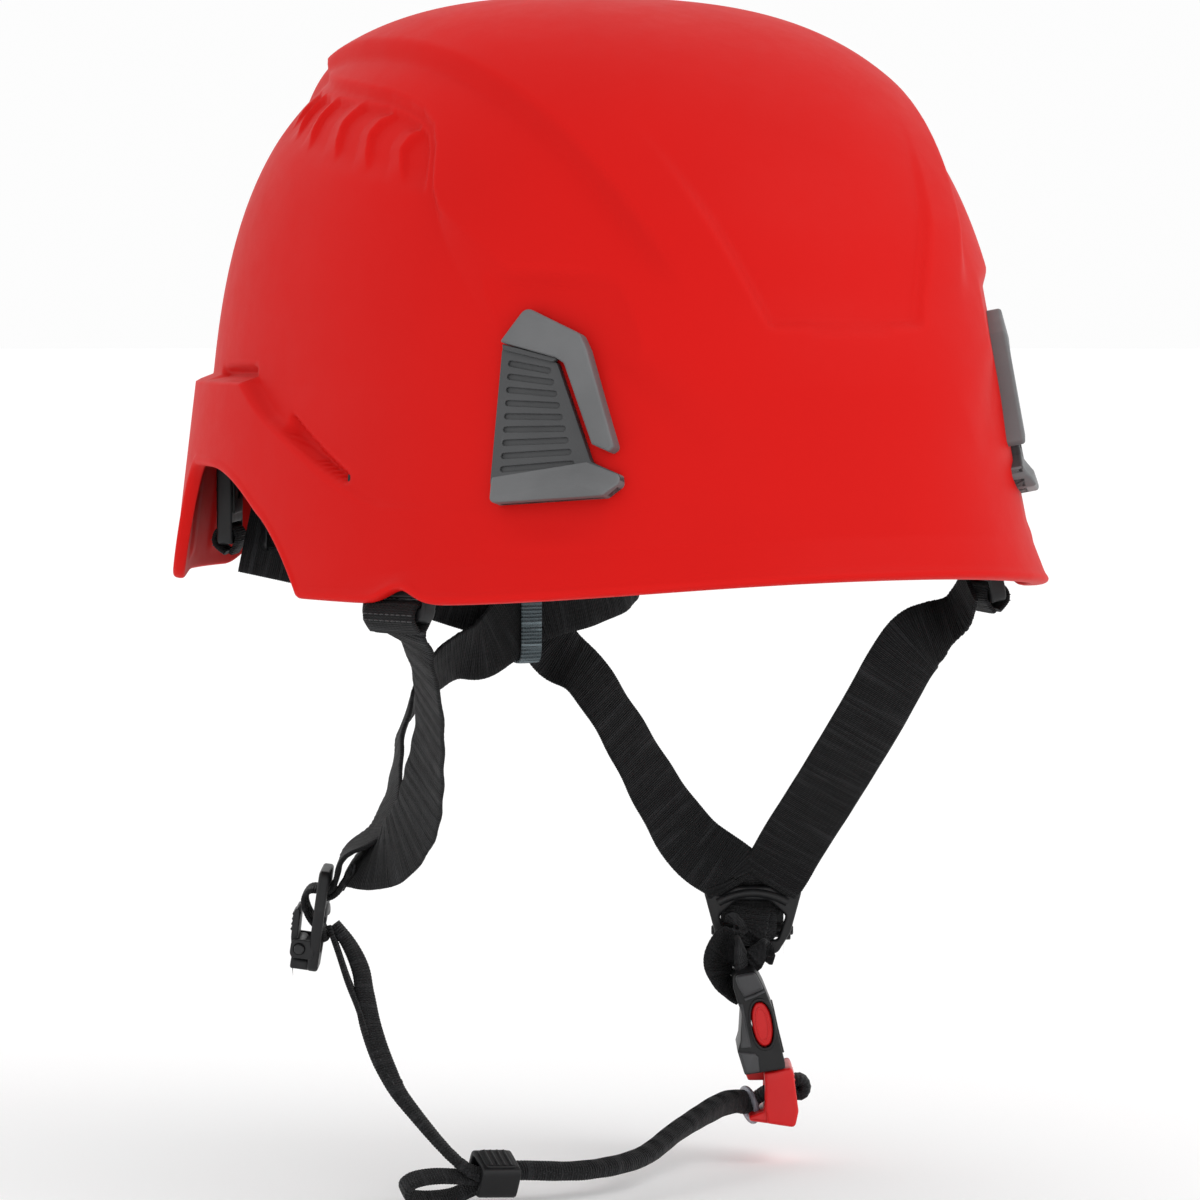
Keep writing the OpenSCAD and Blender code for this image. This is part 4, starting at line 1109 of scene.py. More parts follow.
# ---------- pads: swollen by a cloth simulation between pinned seams ----------
def soft_pad(name, me, body, node, pin, seam, voxel=2.4, cap=1.8, depth=0.7, width=1.3):
    """pin(p) and seam(p) take points in mm: pin gives 0..1, seam the distance to the nearest seam."""
    scene, ob = bpy.context.scene, bpy.data.objects.new(name, me)
    scene.collection.objects.link(ob)
    rm = ob.modifiers.new("remesh", "REMESH")
    rm.mode, rm.voxel_size = "VOXEL", voxel * MM
    shape = bpy.data.meshes.new_from_object(ob.evaluated_get(bpy.context.evaluated_depsgraph_get()))
    ob.modifiers.clear()
    ob.data = shape

    def coords(mesh):
        a = np.empty(len(mesh.vertices) * 3)
        mesh.vertices.foreach_get("co", a)
        return a.reshape(-1, 3)

    rest = coords(shape)
    norm = np.empty(len(shape.vertices) * 3)
    shape.vertices.foreach_get("normal", norm)
    norm = norm.reshape(-1, 3)
    hold = np.maximum(pin(rest / MM), np.exp(-(seam(rest / MM) / 1.6) ** 2))
    vg = ob.vertex_groups.new(name="hold")
    for i, w in enumerate(hold):
        if w > 0.02:
            vg.add([i], float(min(1, w)), "REPLACE")
    cl = ob.modifiers.new("cloth", "CLOTH")
    st = cl.settings
    st.quality, st.mass = 5, 0.2
    st.tension_stiffness = st.compression_stiffness = 12
    st.shear_stiffness, st.bending_stiffness = 4, 0.4
    st.vertex_group_mass, st.pin_stiffness = "hold", 1.0
    st.use_pressure, st.uniform_pressure_force = True, 4.0
    st.effector_weights.gravity = 0
    cl.point_cache.frame_start, cl.point_cache.frame_end = 1, 20
    for k in range(1, 21):
        scene.frame_set(k)
    got = coords(ob.evaluated_get(bpy.context.evaluated_depsgraph_get()).data)
    ob.modifiers.clear()
    ob.vertex_groups.clear()
    scene.frame_set(1)
    move = got - rest
    size = np.linalg.norm(move, axis=1, keepdims=True)
    new = rest + move * np.minimum(1, cap * MM / np.maximum(size, 1e-9))
    shape.vertices.foreach_set("co", new.ravel())
    shape.update()
    sub = ob.modifiers.new("sub", "SUBSURF")
    sub.levels = sub.render_levels = 2
    fine = bpy.data.meshes.new_from_object(ob.evaluated_get(bpy.context.evaluated_depsgraph_get()))
    ob.modifiers.clear()
    bpy.data.objects.remove(ob)
    p = coords(fine)
    norm = np.empty(len(fine.vertices) * 3)
    fine.vertices.foreach_get("normal", norm)
    dist = seam(p / MM)
    free = 1 - clamp(pin(p / MM))
    p = p - norm.reshape(-1, 3) * (depth * MM * np.exp(-(dist / width) ** 2) * free)[:, None]
    fine.vertices.foreach_set("co", p.ravel())
    fine.name = name
    ob = piece(name, finish_mesh(fine, True), body, M["pad"], node)
    return ob


def ring_inv(p):
    return np.degrees(np.arctan2(spow(p[:, 0] / 82, 1.11), spow(-(p[:, 1] - 2) / 105, 1.11)))


def ring_off(p):
    f = ring_inv(p)
    return np.hypot(p[:, 0], p[:, 1] - 2) - np.hypot(*(ring_pt(f, 0) - np.array([0, 2])).T)


def ring_form(f0, f1, z0, z1, o0, o1, n=90, m=36):
    a = np.linspace(0, 2 * math.pi, m, endpoint=False)
    v = []
    for i in range(n):
        t = i / (n - 1)
        k = max(0.05, (1 - abs(2 * t - 1) ** 14)) ** 0.35
        z = (z0 + z1) / 2 + (z1 - z0) / 2 * spow(np.cos(a), 0.42) * k
        o = (o0 + o1) / 2 + (o1 - o0) / 2 * spow(np.sin(a), 0.6) * (0.5 + 0.5 * k)
        q = ring_pt(np.full(m, mix(f0, f1, t)), o)
        v.append(np.stack([q[:, 0], q[:, 1], z], 1))
    f = grid_faces(n, m) + [tuple(range(m))[::-1], tuple((n - 1) * m + c for c in range(m))]
    me = from_data("form", np.concatenate(v), f)
    bm = bmesh.new()
    bm.from_mesh(me)
    bmesh.ops.recalc_face_normals(bm, faces=bm.faces)
    bm.to_mesh(me)
    bm.free()
    return me


def lines(f, marks, scale=1.65):
    return np.min(np.abs(f[:, None] - np.array(marks, float)[None]), axis=1) * scale


def brow_seam(p):
    f, z = ring_inv(p), p[:, 2]
    edge = np.minimum(np.minimum(np.abs(z - 14.2), np.abs(z - 37.8)), np.abs(np.abs(f) - 59.6) * 1.65)
    return np.minimum(edge, lines(f, (-42, -21, 0, 21, 42)))


soft_pad("brow_cushion", ring_form(-61.5, 61.5, 11.6, 40.4, -4.4, -0.4), "helmet", "brow_pad",
         lambda p: ease((ring_off(p) + 1.9) / 1.2), brow_seam)


def nape_seam(p):
    f, z = np.abs(ring_inv(p)), p[:, 2]
    edge = np.minimum(np.minimum(np.abs(z + 0.8), np.abs(z - 25.0)), np.abs(f - 149) * 1.65)
    return np.minimum(edge, lines(f, (180, 164)))


soft_pad("nape_cushion", ring_form(147, 213, -3.5, 27.5, -4.6, 0.4, 60), "nape_support", "nape_pad",
         lambda p: ease((ring_off(p) + 1.2) / 1.0), nape_seam)


def crown_form():
    prof = [(0.01, 120.6), (9, 120.5), (18, 120.1), (25, 119.2), (28.4, 117.9), (29.4, 116.6), (28.2, 115.3),
            (24, 114.6), (12, 114.4), (0.01, 114.4)]
    me = lathe("crown", prof, None, 72)
    bm = bmesh.new()
    bm.from_mesh(me)
    bmesh.ops.remove_doubles(bm, verts=bm.verts, dist=0.00005)
    bmesh.ops.recalc_face_normals(bm, faces=bm.faces)
    bm.to_mesh(me)
    bm.free()
    return me


def crown_seam(p):
    r, a = np.hypot(p[:, 0], p[:, 1]), np.arctan2(p[:, 1], p[:, 0])
    spoke = np.abs((a / (math.pi / 3)) % 1 - 0.5) * (math.pi / 3) * r
    return np.minimum(np.abs(r - 26.4), np.where(r < 26, np.where(r > 7, spoke, np.abs(r - 7)), 9))


soft_pad("crown_cushion", crown_form(), "helmet", "crown_pad", lambda p: ease((p[:, 2] - 118.6) / 1.2) * 0.8,
         crown_seam, 2.6, 2.2)
loops = []
for f, lift in ((-66, 0), (66, 1.6), (0, 3.2)):
    for s in (1, -1):
        d = np.array([math.sin(math.radians(f)), -math.cos(math.radians(f)), 0]) * s
        w = np.array([-d[1], d[0], 0])
        q = [d * 22 + w * k + np.array([0, 0, h]) for k, h in
             ((-11.4, 119.6), (-11.4, 124.5 + lift), (-10.2, 127.2 + lift), (0, 127.8 + lift),
              (10.2, 127.2 + lift), (11.4, 124.5 + lift), (11.4, 119.6))]
        loops.append(strap("keep", q, [d] * 7, 6.0, 0.9))
piece("crown_keepers", fused("keepers", loops, 70), "helmet", M["web"])

bind = []
for f0, f1, z0, z1, off in ((-61.2, 61.2, 12.4, 39.6, -2.3), (148, 212, -2.4, 26.4, -2.0)):
    ctr = [(f0, z0), (f1, z0), (f1, z1), (f0, z1)]
    lp = dens(round_poly([(a * 1.65, b) for a, b in ctr], 5, 8), 1.6)
    pts = [[*ring_pt(x / 1.65, off), y] for x, y in lp]
    bind.append(tube("bind", pts, 1.15, 10, None, True))
piece("brow_binding", finish_mesh(bind[0], True), "helmet", M["pad_dark"])
piece("nape_binding", finish_mesh(bind[1], True), "nape_support", M["pad_dark"])


# ---------- nape support and its ratchet ----------
def screw(place, r=5.5, h=1.4):
    return lathe("head", [(0.01, h - 0.9), (1.3, h - 0.9), (1.5, h - 0.1), (1.9, h), (r - 0.7, h),
                          (r, h - 0.6), (r, 0),
                          (0.01, 0)], place, 44)


def make_pivot(side, flip):
    at = flip @ T(86.62, 12, 26) @ R("Y", 90)
    me = mesh_parts("pv", [screw(at @ T(0, 0, 3.2)),
                           lathe("post", [(0.01, 0), (2.6, 0), (3, 0.3), (3, 3.3), (0.01, 3.3)], at, 40)])
    piece("temple_pivot_" + side, finish_mesh(me, True, 38), "helmet", M["gloss_black"],
          "pivot_" + side)


make_pivot("left", Matrix.Identity(4))
make_pivot("right", MIRROR)


def on_nape(x, y, z):
    k = 85 + 1 + z
    t = 1 - (abs(x) / k) ** 2.22
    return x, 2 + (108 + 1 + z) * max(t, 0.0) ** (1 / 2.22), y


def make_nape():
    rim = round_poly([[-70, 10], [-40, 9], [-24, -8], [24, -8], [40, 9], [70, 10], [70, 26], [40, 31],
                      [-40, 31], [-70, 26]], [5, 8, 8, 8, 8, 5, 6, 12, 12, 6], 7)
    holes = [pill(s * 50, 16, s * 50, 22, 3.0) for s in (1, -1)]
    holes += [pill(s * 38, 16, s * 38, 24, 2.4) for s in (1, -1)]
    holes += [pill(s * 61, 16.5, s * 61, 20.5, 2.6) for s in (1, -1)]
    pan = plate("np", [dens(rim, 2)] + [dens(h, 1.2) for h in holes], 0.1, 2.1, None, 0.6, 2, 40, on_nape)
    rib = tube("r", [on_nape(x, 1.0 + 29 * (1 - (x / 74) ** 2) * 0.98 + 6 * (1 - 0.98), 2.3)
                     for x in np.linspace(-66, 66, 40)], 0.7, 8)
    me = fused("np", [pan, rib], 40)
    piece("nape_shell", me, "nape_support", M["gloss_black"], "nape_cradle")


make_nape()


def flat_ribbon(name, path, dirs, w, t, steps=8):
    """Moulded plastic strip: round edges and two long ribs."""
    c, _, _, b, h = strap_frame(path, dirs, 1.2, steps)
    a = np.linspace(0, 2 * math.pi, 40, endpoint=False)
    x, y = spow(np.cos(a), 0.28), spow(np.sin(a), 0.6)
    lift = 1 + 0.45 * np.exp(-((np.abs(x) - 0.62) / 0.1) ** 2)
    v = [c[i] + np.outer(x * w / 2, b[i]) + np.outer(y * t / 2 * lift, h[i]) for i in range(len(c))]
    f = grid_faces(len(c), 40) + [tuple(range(40))[::-1], tuple((len(c) - 1) * 40 + k for k in range(40))]
    return from_data(name, np.concatenate(v), f, None, True, 50)


def make_arm(side, sx):
    pts = [[88.2, 3, 26], [88.2, 12, 26]]
    pts += [[*ring_pt(float(f), 4.6), z] for f, z in ((104, 27), (114, 28.5), (124, 30), (133, 30),
                                                      (142, 25))]
    pts += [[46, 106, 16], [40.5, 113.6, 12], [36.8, 116.3, 12]]
    pts = [[p[0] * sx, p[1], p[2]] for p in pts]
    ob = piece("band_strip_" + side, flat_ribbon("arm", pts, [[0, 0, 1]] * len(pts), 9.5, 1.5), None,
               M["gloss_black"], "band_arm_" + side)
    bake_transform(ob)


make_arm("left", 1)
make_arm("right", -1)
ends = []
for s in (1, -1):
    at = T(88.2 * s, 8, 26) @ R("Y", 90 * s)
    ends.append(plate("boss", [oval(0, 0, 6.4, 8.2, 40), oval(0, -4, 3.06, 3.06, 28)], -0.78, 0.78,
                      T(88.2 * s, 8, 26) @ R("Y", 90) , 0.3))
piece("temple_eyes", fused("eyes", ends, 38), "nape_support", M["gloss_black"])

FACE = T(0, 0, 12) @ R("X", 90)  # plate x,y,z -> X, -depth, Z about the knob axis


def make_ratchet():
    pr, p = 5.0, math.pi * 10 / 12
    teeth = [[14, pr + 0.95]]
    for i in range(4, -6, -1):
        c = (i + 0.5) * p
        teeth += [[c + 0.70, pr + 0.95], [c + 0.52, pr], [c + 0.3, pr - 0.55], [c - 0.3, pr - 0.55],
                  [c - 0.52, pr], [c - 0.70, pr + 0.95]]
    teeth += [[-36, pr + 0.95], [-36, pr + 3.35], [14, pr + 3.35]]
    for side, turn, body in (("right", Matrix.Identity(4), "rack_r"), ("left", R("Z", 180), "rack_l")):
        rk = plate("rk", [np.array(teeth), oval(-32, pr + 2.15, 0.7, 0.7, 20)], -117.5, -115.1, FACE @ turn,
                   0.12, 1)
        piece("rack_strip_" + side, rk, body, M["gloss_black"], "rack_" + side)
    tray = [plate("t", [rect(-33, -15, 33, 15, 8, 8)], -114.6, -113.3, FACE, 0.4),
            plate("t", [rect(-33, -15, 33, 15, 8, 8), rect(-30.5, -12, 30.5, 12, 5, 6)], -119.4, -114.0,
                  FACE, 0.5)]
    tray += [lathe("post", [(0.01, 5), (1.7, 5), (2, 4.6), (2, 0), (0.01, 0)],
                   FACE @ T(28 * s, 9.6 * u, -114.4) @ R("X", 180), 24) for s in (1, -1) for u in (1, -1)]
    piece("ratchet_tray", fused("tray", tray, 38), "nape_support", M["black"],
          "ratchet_housing")
    cov = [plate("c", [rect(-33, -15, 33, 15, 8, 8), oval(0, 0, 4.1, 4.1, 40)], -121.5, -119.5, FACE, 0.6),
           plate("c", [rect(-30.5, -12.5, 30.5, 12.5, 6.4, 8), oval(0, 0, 17.6, 12.4, 60)],
                 -121.9, -120.5, FACE, 0.35)]
    cov += [lathe("s", [(0.01, 0.3), (0.8, 0.3), (0.9, 0.9), (1.9, 0.9), (2.3, 0.5), (2.3, -0.3),
                        (0.01, -0.3)],
                  FACE @ T(27 * s, 8.8 * u, -121.9) @ R("X", 180), 24) for s in (1, -1) for u in (1, -1)]
    piece("ratchet_lid", fused("lid", cov, 38), "nape_support", M["black"],
          "ratchet_cover")
    gear = []
    for i in range(12):
        for r, a in ((pr - 1.2, -11.5), (pr - 0.4, -7.2), (pr, -5.7), (pr + 0.5, -2.9), (pr + 0.5, 2.9),
                     (pr, 5.7), (pr - 0.4, 7.2), (pr - 1.2, 11.5)):
            t = math.radians(30 * i + a)
            gear.append([r * math.cos(t), r * math.sin(t)])
    gme = [plate("g", [np.array(gear), oval(0, 0, 1.3, 1.3, 24)], -118.6, -115.2, FACE, 0.12, 1),
           lathe("hub", [(1.31, 0), (2.6, 0), (2.8, 0.2), (2.8, 0.5), (1.31, 0.5)], FACE @ T(0, 0, -115.2),
                 32)]
    piece("pinion_gear", fused("gear", gme, 35), "knob", M["white"],
          "pinion")
    n = 180
    a = np.linspace(0, 2 * math.pi, n, endpoint=False)
    cut = np.array([min(abs(math.degrees(t) % 120 - 60), 60) for t in a])
    r = np.where(cut < 6, 6.0, 10.9)
    sme = plate("sp", [np.stack([r * np.cos(a), r * np.sin(a)], 1), oval(0, 0, 4.4, 4.4, 48)], -123.35,
                -122.65,
                FACE, 0.15, 1)
    piece("ratchet_leaf", sme, "knob", M["steel"], "ratchet_spring")
    a = np.linspace(0, 2 * math.pi, 288, endpoint=False)
    lobe = np.abs(((a / (2 * math.pi) * 12 + 0.5) % 1) - 0.5) * 2
    rk = 16 - 2.0 * np.sqrt(np.maximum(0, 1 - (lobe / 0.50) ** 2)) ** 1.2
    out = np.stack([rk * np.cos(a), rk * np.sin(a)], 1)
    kn = [plate("k", [out, oval(0, 0, 11.6, 11.6, 64)], -125.0, -122.1, FACE, 0.5),
          plate("k", [out], -133, -124.5, FACE, 1.3, 4),
          lathe("k", [(7.0, 0), (7.2, 0.45), (8.2, 0.55), (8.4, 0.1), (11.6, 0.1), (11.8, 0.5), (12.6, 0.5),
                      (12.8, 0)],
                FACE @ T(0, 0, -133.0) @ R("X", 180), 96),
          lathe("k", [(0.01, 0), (4, 0), (4, 5.9), (3.6, 6.2), (0.01, 6.2)],
                FACE @ T(0, 0, -118.65) @ R("X", 180), 40)]
    for i in range(24):
        t = math.radians(15 * i)
        kn.append(tube("k", [[12.9 * math.cos(t), 12.9 * math.sin(t), 0],
                             [14.3 * math.cos(t), 14.3 * math.sin(t), 0]],
                       0.3, 6, FACE @ T(0, 0, -132.9)))
    piece("adjuster_knob", fused("knob", kn, 38), "knob", M["black"],
          "ratchet_knob")


make_ratchet()


# ---------- dividers ----------
PIN_Y, PIN_Z = 4.4, -8.4
UP = R("X", 90)  # plate x,y,z -> X, -Y, Z


def make_divider(side, at):
    rim = round_poly([[-12.6, 15], [12.6, 15], [15, 4], [11.6, -8.6], [7.6, -15], [-7.6, -15], [-11.6, -8.6],
                      [-15, 4]], [3, 3, 4, 4, 2.5, 2.5, 4, 4], 7)
    top = round_poly([[-11, 10.2], [11, 10.2], [11.8, 3.4], [9.8, 3.0], [5, 5.8], [-5, 5.8], [-9.8, 3.0],
                      [-11.8, 3.4]], [1.3, 1.3, 1.2, 1, 4, 4, 1, 1.2], 5)
    low = round_poly([[-10.2, -3.4], [-5, 1.4], [5, 1.4], [10.2, -3.4], [7.6, -10.8], [-7.6, -10.8]],
                     [1.4, 4, 4, 1.4, 1.4, 1.4], 6)
    parts = [plate("d", [rim, top, low], -1.6, 1.6, at @ UP, 0.9, 4),
             plate("d", [rect(-6.8, -15, 6.8, -11.7, 1.2)], -6.6, -1.0, at @ UP, 0.6),
             tube("d", [[x, -0.9, 3.75 - 0.026 * x * x] for x in np.linspace(-10.6, 10.6, 18)], 1.5, 12, at)]
    for s in (-1, 1):
        parts.append(plate("k", [rect(-2.7, -4.3, 2.7, 2.6, 1.8, 6), oval(0, 0, 1.55, 1.55, 24)], -0.9, 0.9,
                           at @ T(s * 10.8, PIN_Y, PIN_Z) @ R("Y", 90), 0.35))
        for k in range(4):
            parts.append(tube("r", [[s * 13.4 - s * 0.25 * k, -1.5, 8 - 2.4 * k],
                                    [s * 13.4 - s * 0.25 * k, 1.5, 8 - 2.4 * k]],
                              0.45, 8, at))
    piece("divider_plate_" + side, fused("div", parts, 38), "helmet", M["black"],
          "divider_" + side)
    pin = lathe("pin", [(0.01, -12.6), (1.2, -12.6), (1.5, -12.3), (1.5, 12.3), (1.2, 12.6), (0.01, 12.6)],
                at @ T(0, PIN_Y, PIN_Z) @ R("Y", 90), 28)
    piece("divider_axle_" + side, pin, "helmet", M["gloss_black"], "divider_pin_" + side)
    a = np.linspace(math.radians(70), math.radians(330), 20)
    prof = [[2.4 * math.cos(t), 2.4 * math.sin(t)] for t in a]
    prof += [[0.8, 0.9], [-9.6, 1.25], [-11.1, 1.5], [-11.4, 2.1], [-11.1, 2.7], [-9.6, 3.2], [-3, 2.9]]
    lev = [plate("l", [np.array(prof), oval(0, 0, 1.56, 1.56, 24)], -9.7, 9.7,
                 at @ T(0, PIN_Y, PIN_Z) @ R("Y", 90), 0.25, 2)]
    lev += [tube("g", [[x, 3.05, 5 + 1.5 * k] for x in (-7.6, 0, 7.6)], 0.42, 8, at @ T(0, PIN_Y, PIN_Z))
            for k in range(4)]
    piece("divider_cam_" + side, fused("lev", lev, 38), "lever_" + side[0], M["black"],
          "divider_lever_" + side)


make_divider("left", DIV_L)
make_divider("right", DIV_R)


def local_strap(name, at, pts, w, t, mat="web", slot="webbing", wd=(1, 0, 0), **kw):
    me = strap(name, pts, [wd] * len(pts) if np.ndim(wd) == 1 else wd, w, t, place=at, **kw)
    return piece(name, me, "helmet", M[mat])


# webbing that wraps the top slot, runs behind the cam and leaves through the lower opening
local_strap("wrap_left", DIV_L, [[0, 0.2, 12.4], [0, 0.5, 9.4], [0, 1.5, 7.2], [0, 3.0, 5.8], [0, 3.3, 3.0],
                                 [0, 2.9, 0.4],
                                 [0, 1.6, -1.4], [0, -0.6, -2.6]], 17, 1.5)
local_strap("wrap_right", DIV_R, [[0, -2.6, 9.6], [0, -1.0, 8.0], [0, 1.6, 8.6], [0, 4.2, 8.0], [0, 5.2, 5.2],
                                  [0, 4.0, 2.0], [0, 1.8, -0.8], [0, -0.9, -2.6], [0, -2.8, -5.6]], 18, 1.8)


# ---------- buckle ----------
BK = T(69, 15, -132) @ R("Z", -31) @ R("Y", -9)
SIDE = BK @ UP  # plate x,y,z -> X, -Y, Z of the buckle


def make_buckle():
    left = [[0.6, 15.5], [-6.2, 15.4], [-6.8, 11.5], [-6.2, 7], [-5.4, 3], [-7.2, -5.2], [-8.5, -8.0],
            [-7.4, -15.5]]
    lr = [1.6, 2, 3, 4, 5, 3, 0.8, 0.8]
    rightside = [[5.0, -15.5], [5.2, -13.6], [4.5, -5], [4.1, 3], [2.6, 9.5]]
    rr = [0.8, 1.5, 4, 4, 3]
    core = round_poly(left + [[-3.3, -15.5], [-3.3, 11.5], [1.2, 11.5], [3.2, 2], [3.2, -15.5]] + rightside,
                      lr + [0.3, 1, 0.8, 1, 0.3] + rr, 5)
    full = round_poly(left + rightside, lr + rr, 5)
    win = oval(0.2, -1.0, 3.25, 7.1, 48, 2.3)
    frame_ = oval(0.2, -1.0, 3.95, 8.1, 48, 2.3)
    parts = [(plate("s", [core], -11.2, 11.2, SIDE, 0.35), 0)]
    for s in (1, -1):
        z0, z1 = sorted((s * 10.9, s * 13.0))
        parts.append((plate("s", [full, win], z0, z1, SIDE, 0.7, 4), 0))
        z0, z1 = sorted((s * 12.3, s * 13.5))
        parts.append((plate("s", [frame_, win], z0, z1, SIDE, 0.35, 3), 0))
        flank = round_poly([[-8.2, -8.0], [-3.6, -9.2], [-2.4, -10.6], [-2.8, -15.2], [-7.2, -15.2]],
                           [0.6, 1, 0.6, 0.6, 0.8], 4)
        z0, z1 = sorted((s * 11.5, s * 13.6))
        parts.append((plate("s", [flank], z0, z1, SIDE, 0.7, 4), 1))
        strip = round_poly([[-6.2, 6.6], [-4.6, 6.2], [-4.0, -7.6], [-7.6, -7.4], [-6.8, -5], [-5.2, 3]],
                           [0.6, 0.6, 0.6, 0.8, 2, 3], 4)
        z0, z1 = sorted((s * 11.5, s * 13.3))
        parts.append((plate("s", [strip], z0, z1, SIDE, 0.6, 4), 1))
        hood = round_poly([[-5.9, 15.0], [0.4, 15.1], [2.3, 9.6], [-3.9, 8.0], [-5.2, 11]],
                          [1.4, 1.6, 0.8, 0.8, 2], 5)
        z0, z1 = sorted((s * 11.8, s * 14.2))
        parts.append((plate("s", [hood], z0, z1, SIDE, 0.9, 4), 1))
        parts.append((tube("line", [[-3.9, -s * 13.2, 7.3], [-0.6, -s * 13.4, 8.0], [2.4, -s * 13.0, 8.9]],
                           0.45, 8, BK), 1))
        for k in range(3):
            parts.append((tube("r", [[5.1, s * (5.4 + 1.7 * k), -11], [4.5, s * (5.4 + 1.7 * k), -4],
                                     [4.1, s * (5.4 + 1.7 * k), 3]], 0.42, 8, BK), 0))
    parts.append((tube("bar", [[-2.6, y, 13.3] for y in np.linspace(-11, 11, 12)], 1.8, 14, BK), 0))
    me = fused("socket", parts, 38)
    piece("buckle_body", me, "helmet", [M["black"], M["grey_face"]], "buckle_socket")

    cheek = round_poly([[-1.6, -16.0], [6.8, -15.6], [7.3, -17.4], [7.0, -29.2], [5.2, -34.0], [-3.0, -31.4],
                        [-3.0, -26.6], [-1.9, -20]], [0.8, 1, 1, 3, 1.6, 1, 1.5, 3], 5)
    toe = round_poly([[-3.2, -26.4], [6.9, -26.4], [7.0, -29.2], [5.2, -34.0], [-8.0, -30.0], [-8.2, -28.6],
                      [-3.4, -27.6]], [0.8, 0.8, 2, 1.6, 0.8, 0.6, 1], 5)
    head = round_poly([[-1.6, -16.0], [6.8, -15.6], [7.3, -17.4], [7.2, -20.6], [-1.8, -20.6]],
                      [0.8, 1, 1, 0.8, 0.8], 5)
    fin = round_poly([[-7.4, -16.2], [-1.0, -16.0], [-1.4, -20.4], [-6.6, -19.6]], [0.8, 0.4, 0.6, 0.8], 4)
    tg = [plate("t", [cheek], 7.0, 11.4, SIDE, 1.0, 4), plate("t", [cheek], -11.4, -7.0, SIDE, 1.0, 4),
          plate("t", [toe], -10.4, 10.4, SIDE, 1.0, 4), plate("t", [head], -10.8, 10.8, SIDE, 0.8, 4),
          plate("t", [fin], -10.6, -3.0, SIDE, 0.5, 3),
          plate("t", [rect(-2.4, -17, 2.4, 3.8, 1)], -2, 2, BK @ PLATE_Y, 0.5)]
    tg += [tube("g", [[7.2, -8.2, -18.6 - 1.5 * k], [7.2, 8.2, -18.6 - 1.5 * k]], 0.32, 8,
                BK) for k in range(2)]
    piece("tongue_body", fused("tongue", tg, 40), "tongue", M["red"],
          "buckle_tongue")
    for side, s in (("rear", 1), ("front", -1)):
        pad_ = [oval(0.2, -1.0, 3.05, 6.8, 44, 2.2)]
        ring_ = oval(0.2, -1.0, 2.0, 5.4, 44, 2.1)
        z0, z1 = sorted((-s * 8.4, -s * 12.9))
        pr = [plate("p", pad_, z0, z1, SIDE, 0.8, 4),
              plate("p", [ring_, oval(0.2, -1.0, 1.5, 4.7, 44, 2.1)], *sorted((-s * 12.4, -s * 13.15)), SIDE,
                    0.2),
              plate("p", [rect(-2.1, -14.6, 2.1, -4, 0.8)], *sorted((-s * 6.0, -s * 7.8)), SIDE, 0.4),
              plate("p", [rect(-2.1, -8.6, 2.1, -4, 0.8)], *sorted((-s * 6.4, -s * 9.6)), SIDE, 0.4)]
        piece("prong_pad_" + side, fused("prong", pr, 40),
              "prong_b" if side == "rear" else "prong_f", M["red"], "prong_" + side)


make_buckle()
a = np.linspace(0, 2 * math.pi, 60, endpoint=False)
circ = np.stack([5.0 * np.cos(a), 5.0 * np.sin(a), 0 * a], 1)
loop_at = T(66.2, 16.6, -159.4) @ R("Z", -8) @ R("Y", 78)
piece("keeper_loop", finish_mesh(tube("ring", circ, 1.05, 18, loop_at, True, ry=0.9), True), "tongue",
      M["ring"],
      "keeper_ring")


# ---------- chin webbing ----------
CHIN_MID, CHIN_DIR = np.array([-41, -14.28, -165.91]), unit([16, -2.5, -1])
CHIN = T(*[float(c) for c in CHIN_MID]) @ R("Z", -8.88) @ R("Y", 3.53) @ R("X", 24.3)
along_chin = lambda d: list(CHIN_MID + CHIN_DIR * d)


def at_bk(x, y, z):
    return list(BK @ Vector((x, y, z)))


# two layers from the left divider down to the buckle bar
L2 = lambda x, y, z: list(DIV_L @ Vector((x, y, z)))
outer_path = [L2(-1, 0.6, -1.6), L2(-1.8, -2.4, -4.0), [68.6, 23.8, -106.6], [62.6, 24.4, -109.6],
              [58.8, 23.2, -114.4], [58.9, 20.8, -120.6], at_bk(-7.6, 0, 9.5), at_bk(-5.0, 0, 6.4)]
outer_dir = [[0.86, -0.5, 0], [0.86, -0.46, 0.1], [0.9, 0.05, 0.35], [0.92, 0.32, 0.15], [0.88, 0.45, 0.05],
             [0.88, 0.47, 0], [0.84, 0.54, 0], [0.7, 0.7, 0]]
inner_path = [L2(0.4, 0.6, -1.8), L2(0.6, -1.8, -5), L2(1.0, -3.2, -9.5), L2(0.6, -4.2, -14),
              at_bk(-1.6, 0, 19.5), at_bk(-2.6, 0, 15.0)]
inner_dir = [[0.86, -0.5, 0], [0.86, -0.42, 0.1], [0.93, 0.0, 0.15], [0.92, 0.3, 0.1], [0.85, 0.5, 0],
             [0.7, 0.7, 0]]
webbing("buckle_web_outer", outer_path, outer_dir, "helmet", "buckle_webbing", 13.5, 1.7, "chin",
        "chin_webbing", wav=0.5, wave_len=11)
webbing("buckle_web_inner", inner_path, inner_dir, "helmet", (), 13.5, 1.7, "chin", "chin_webbing")

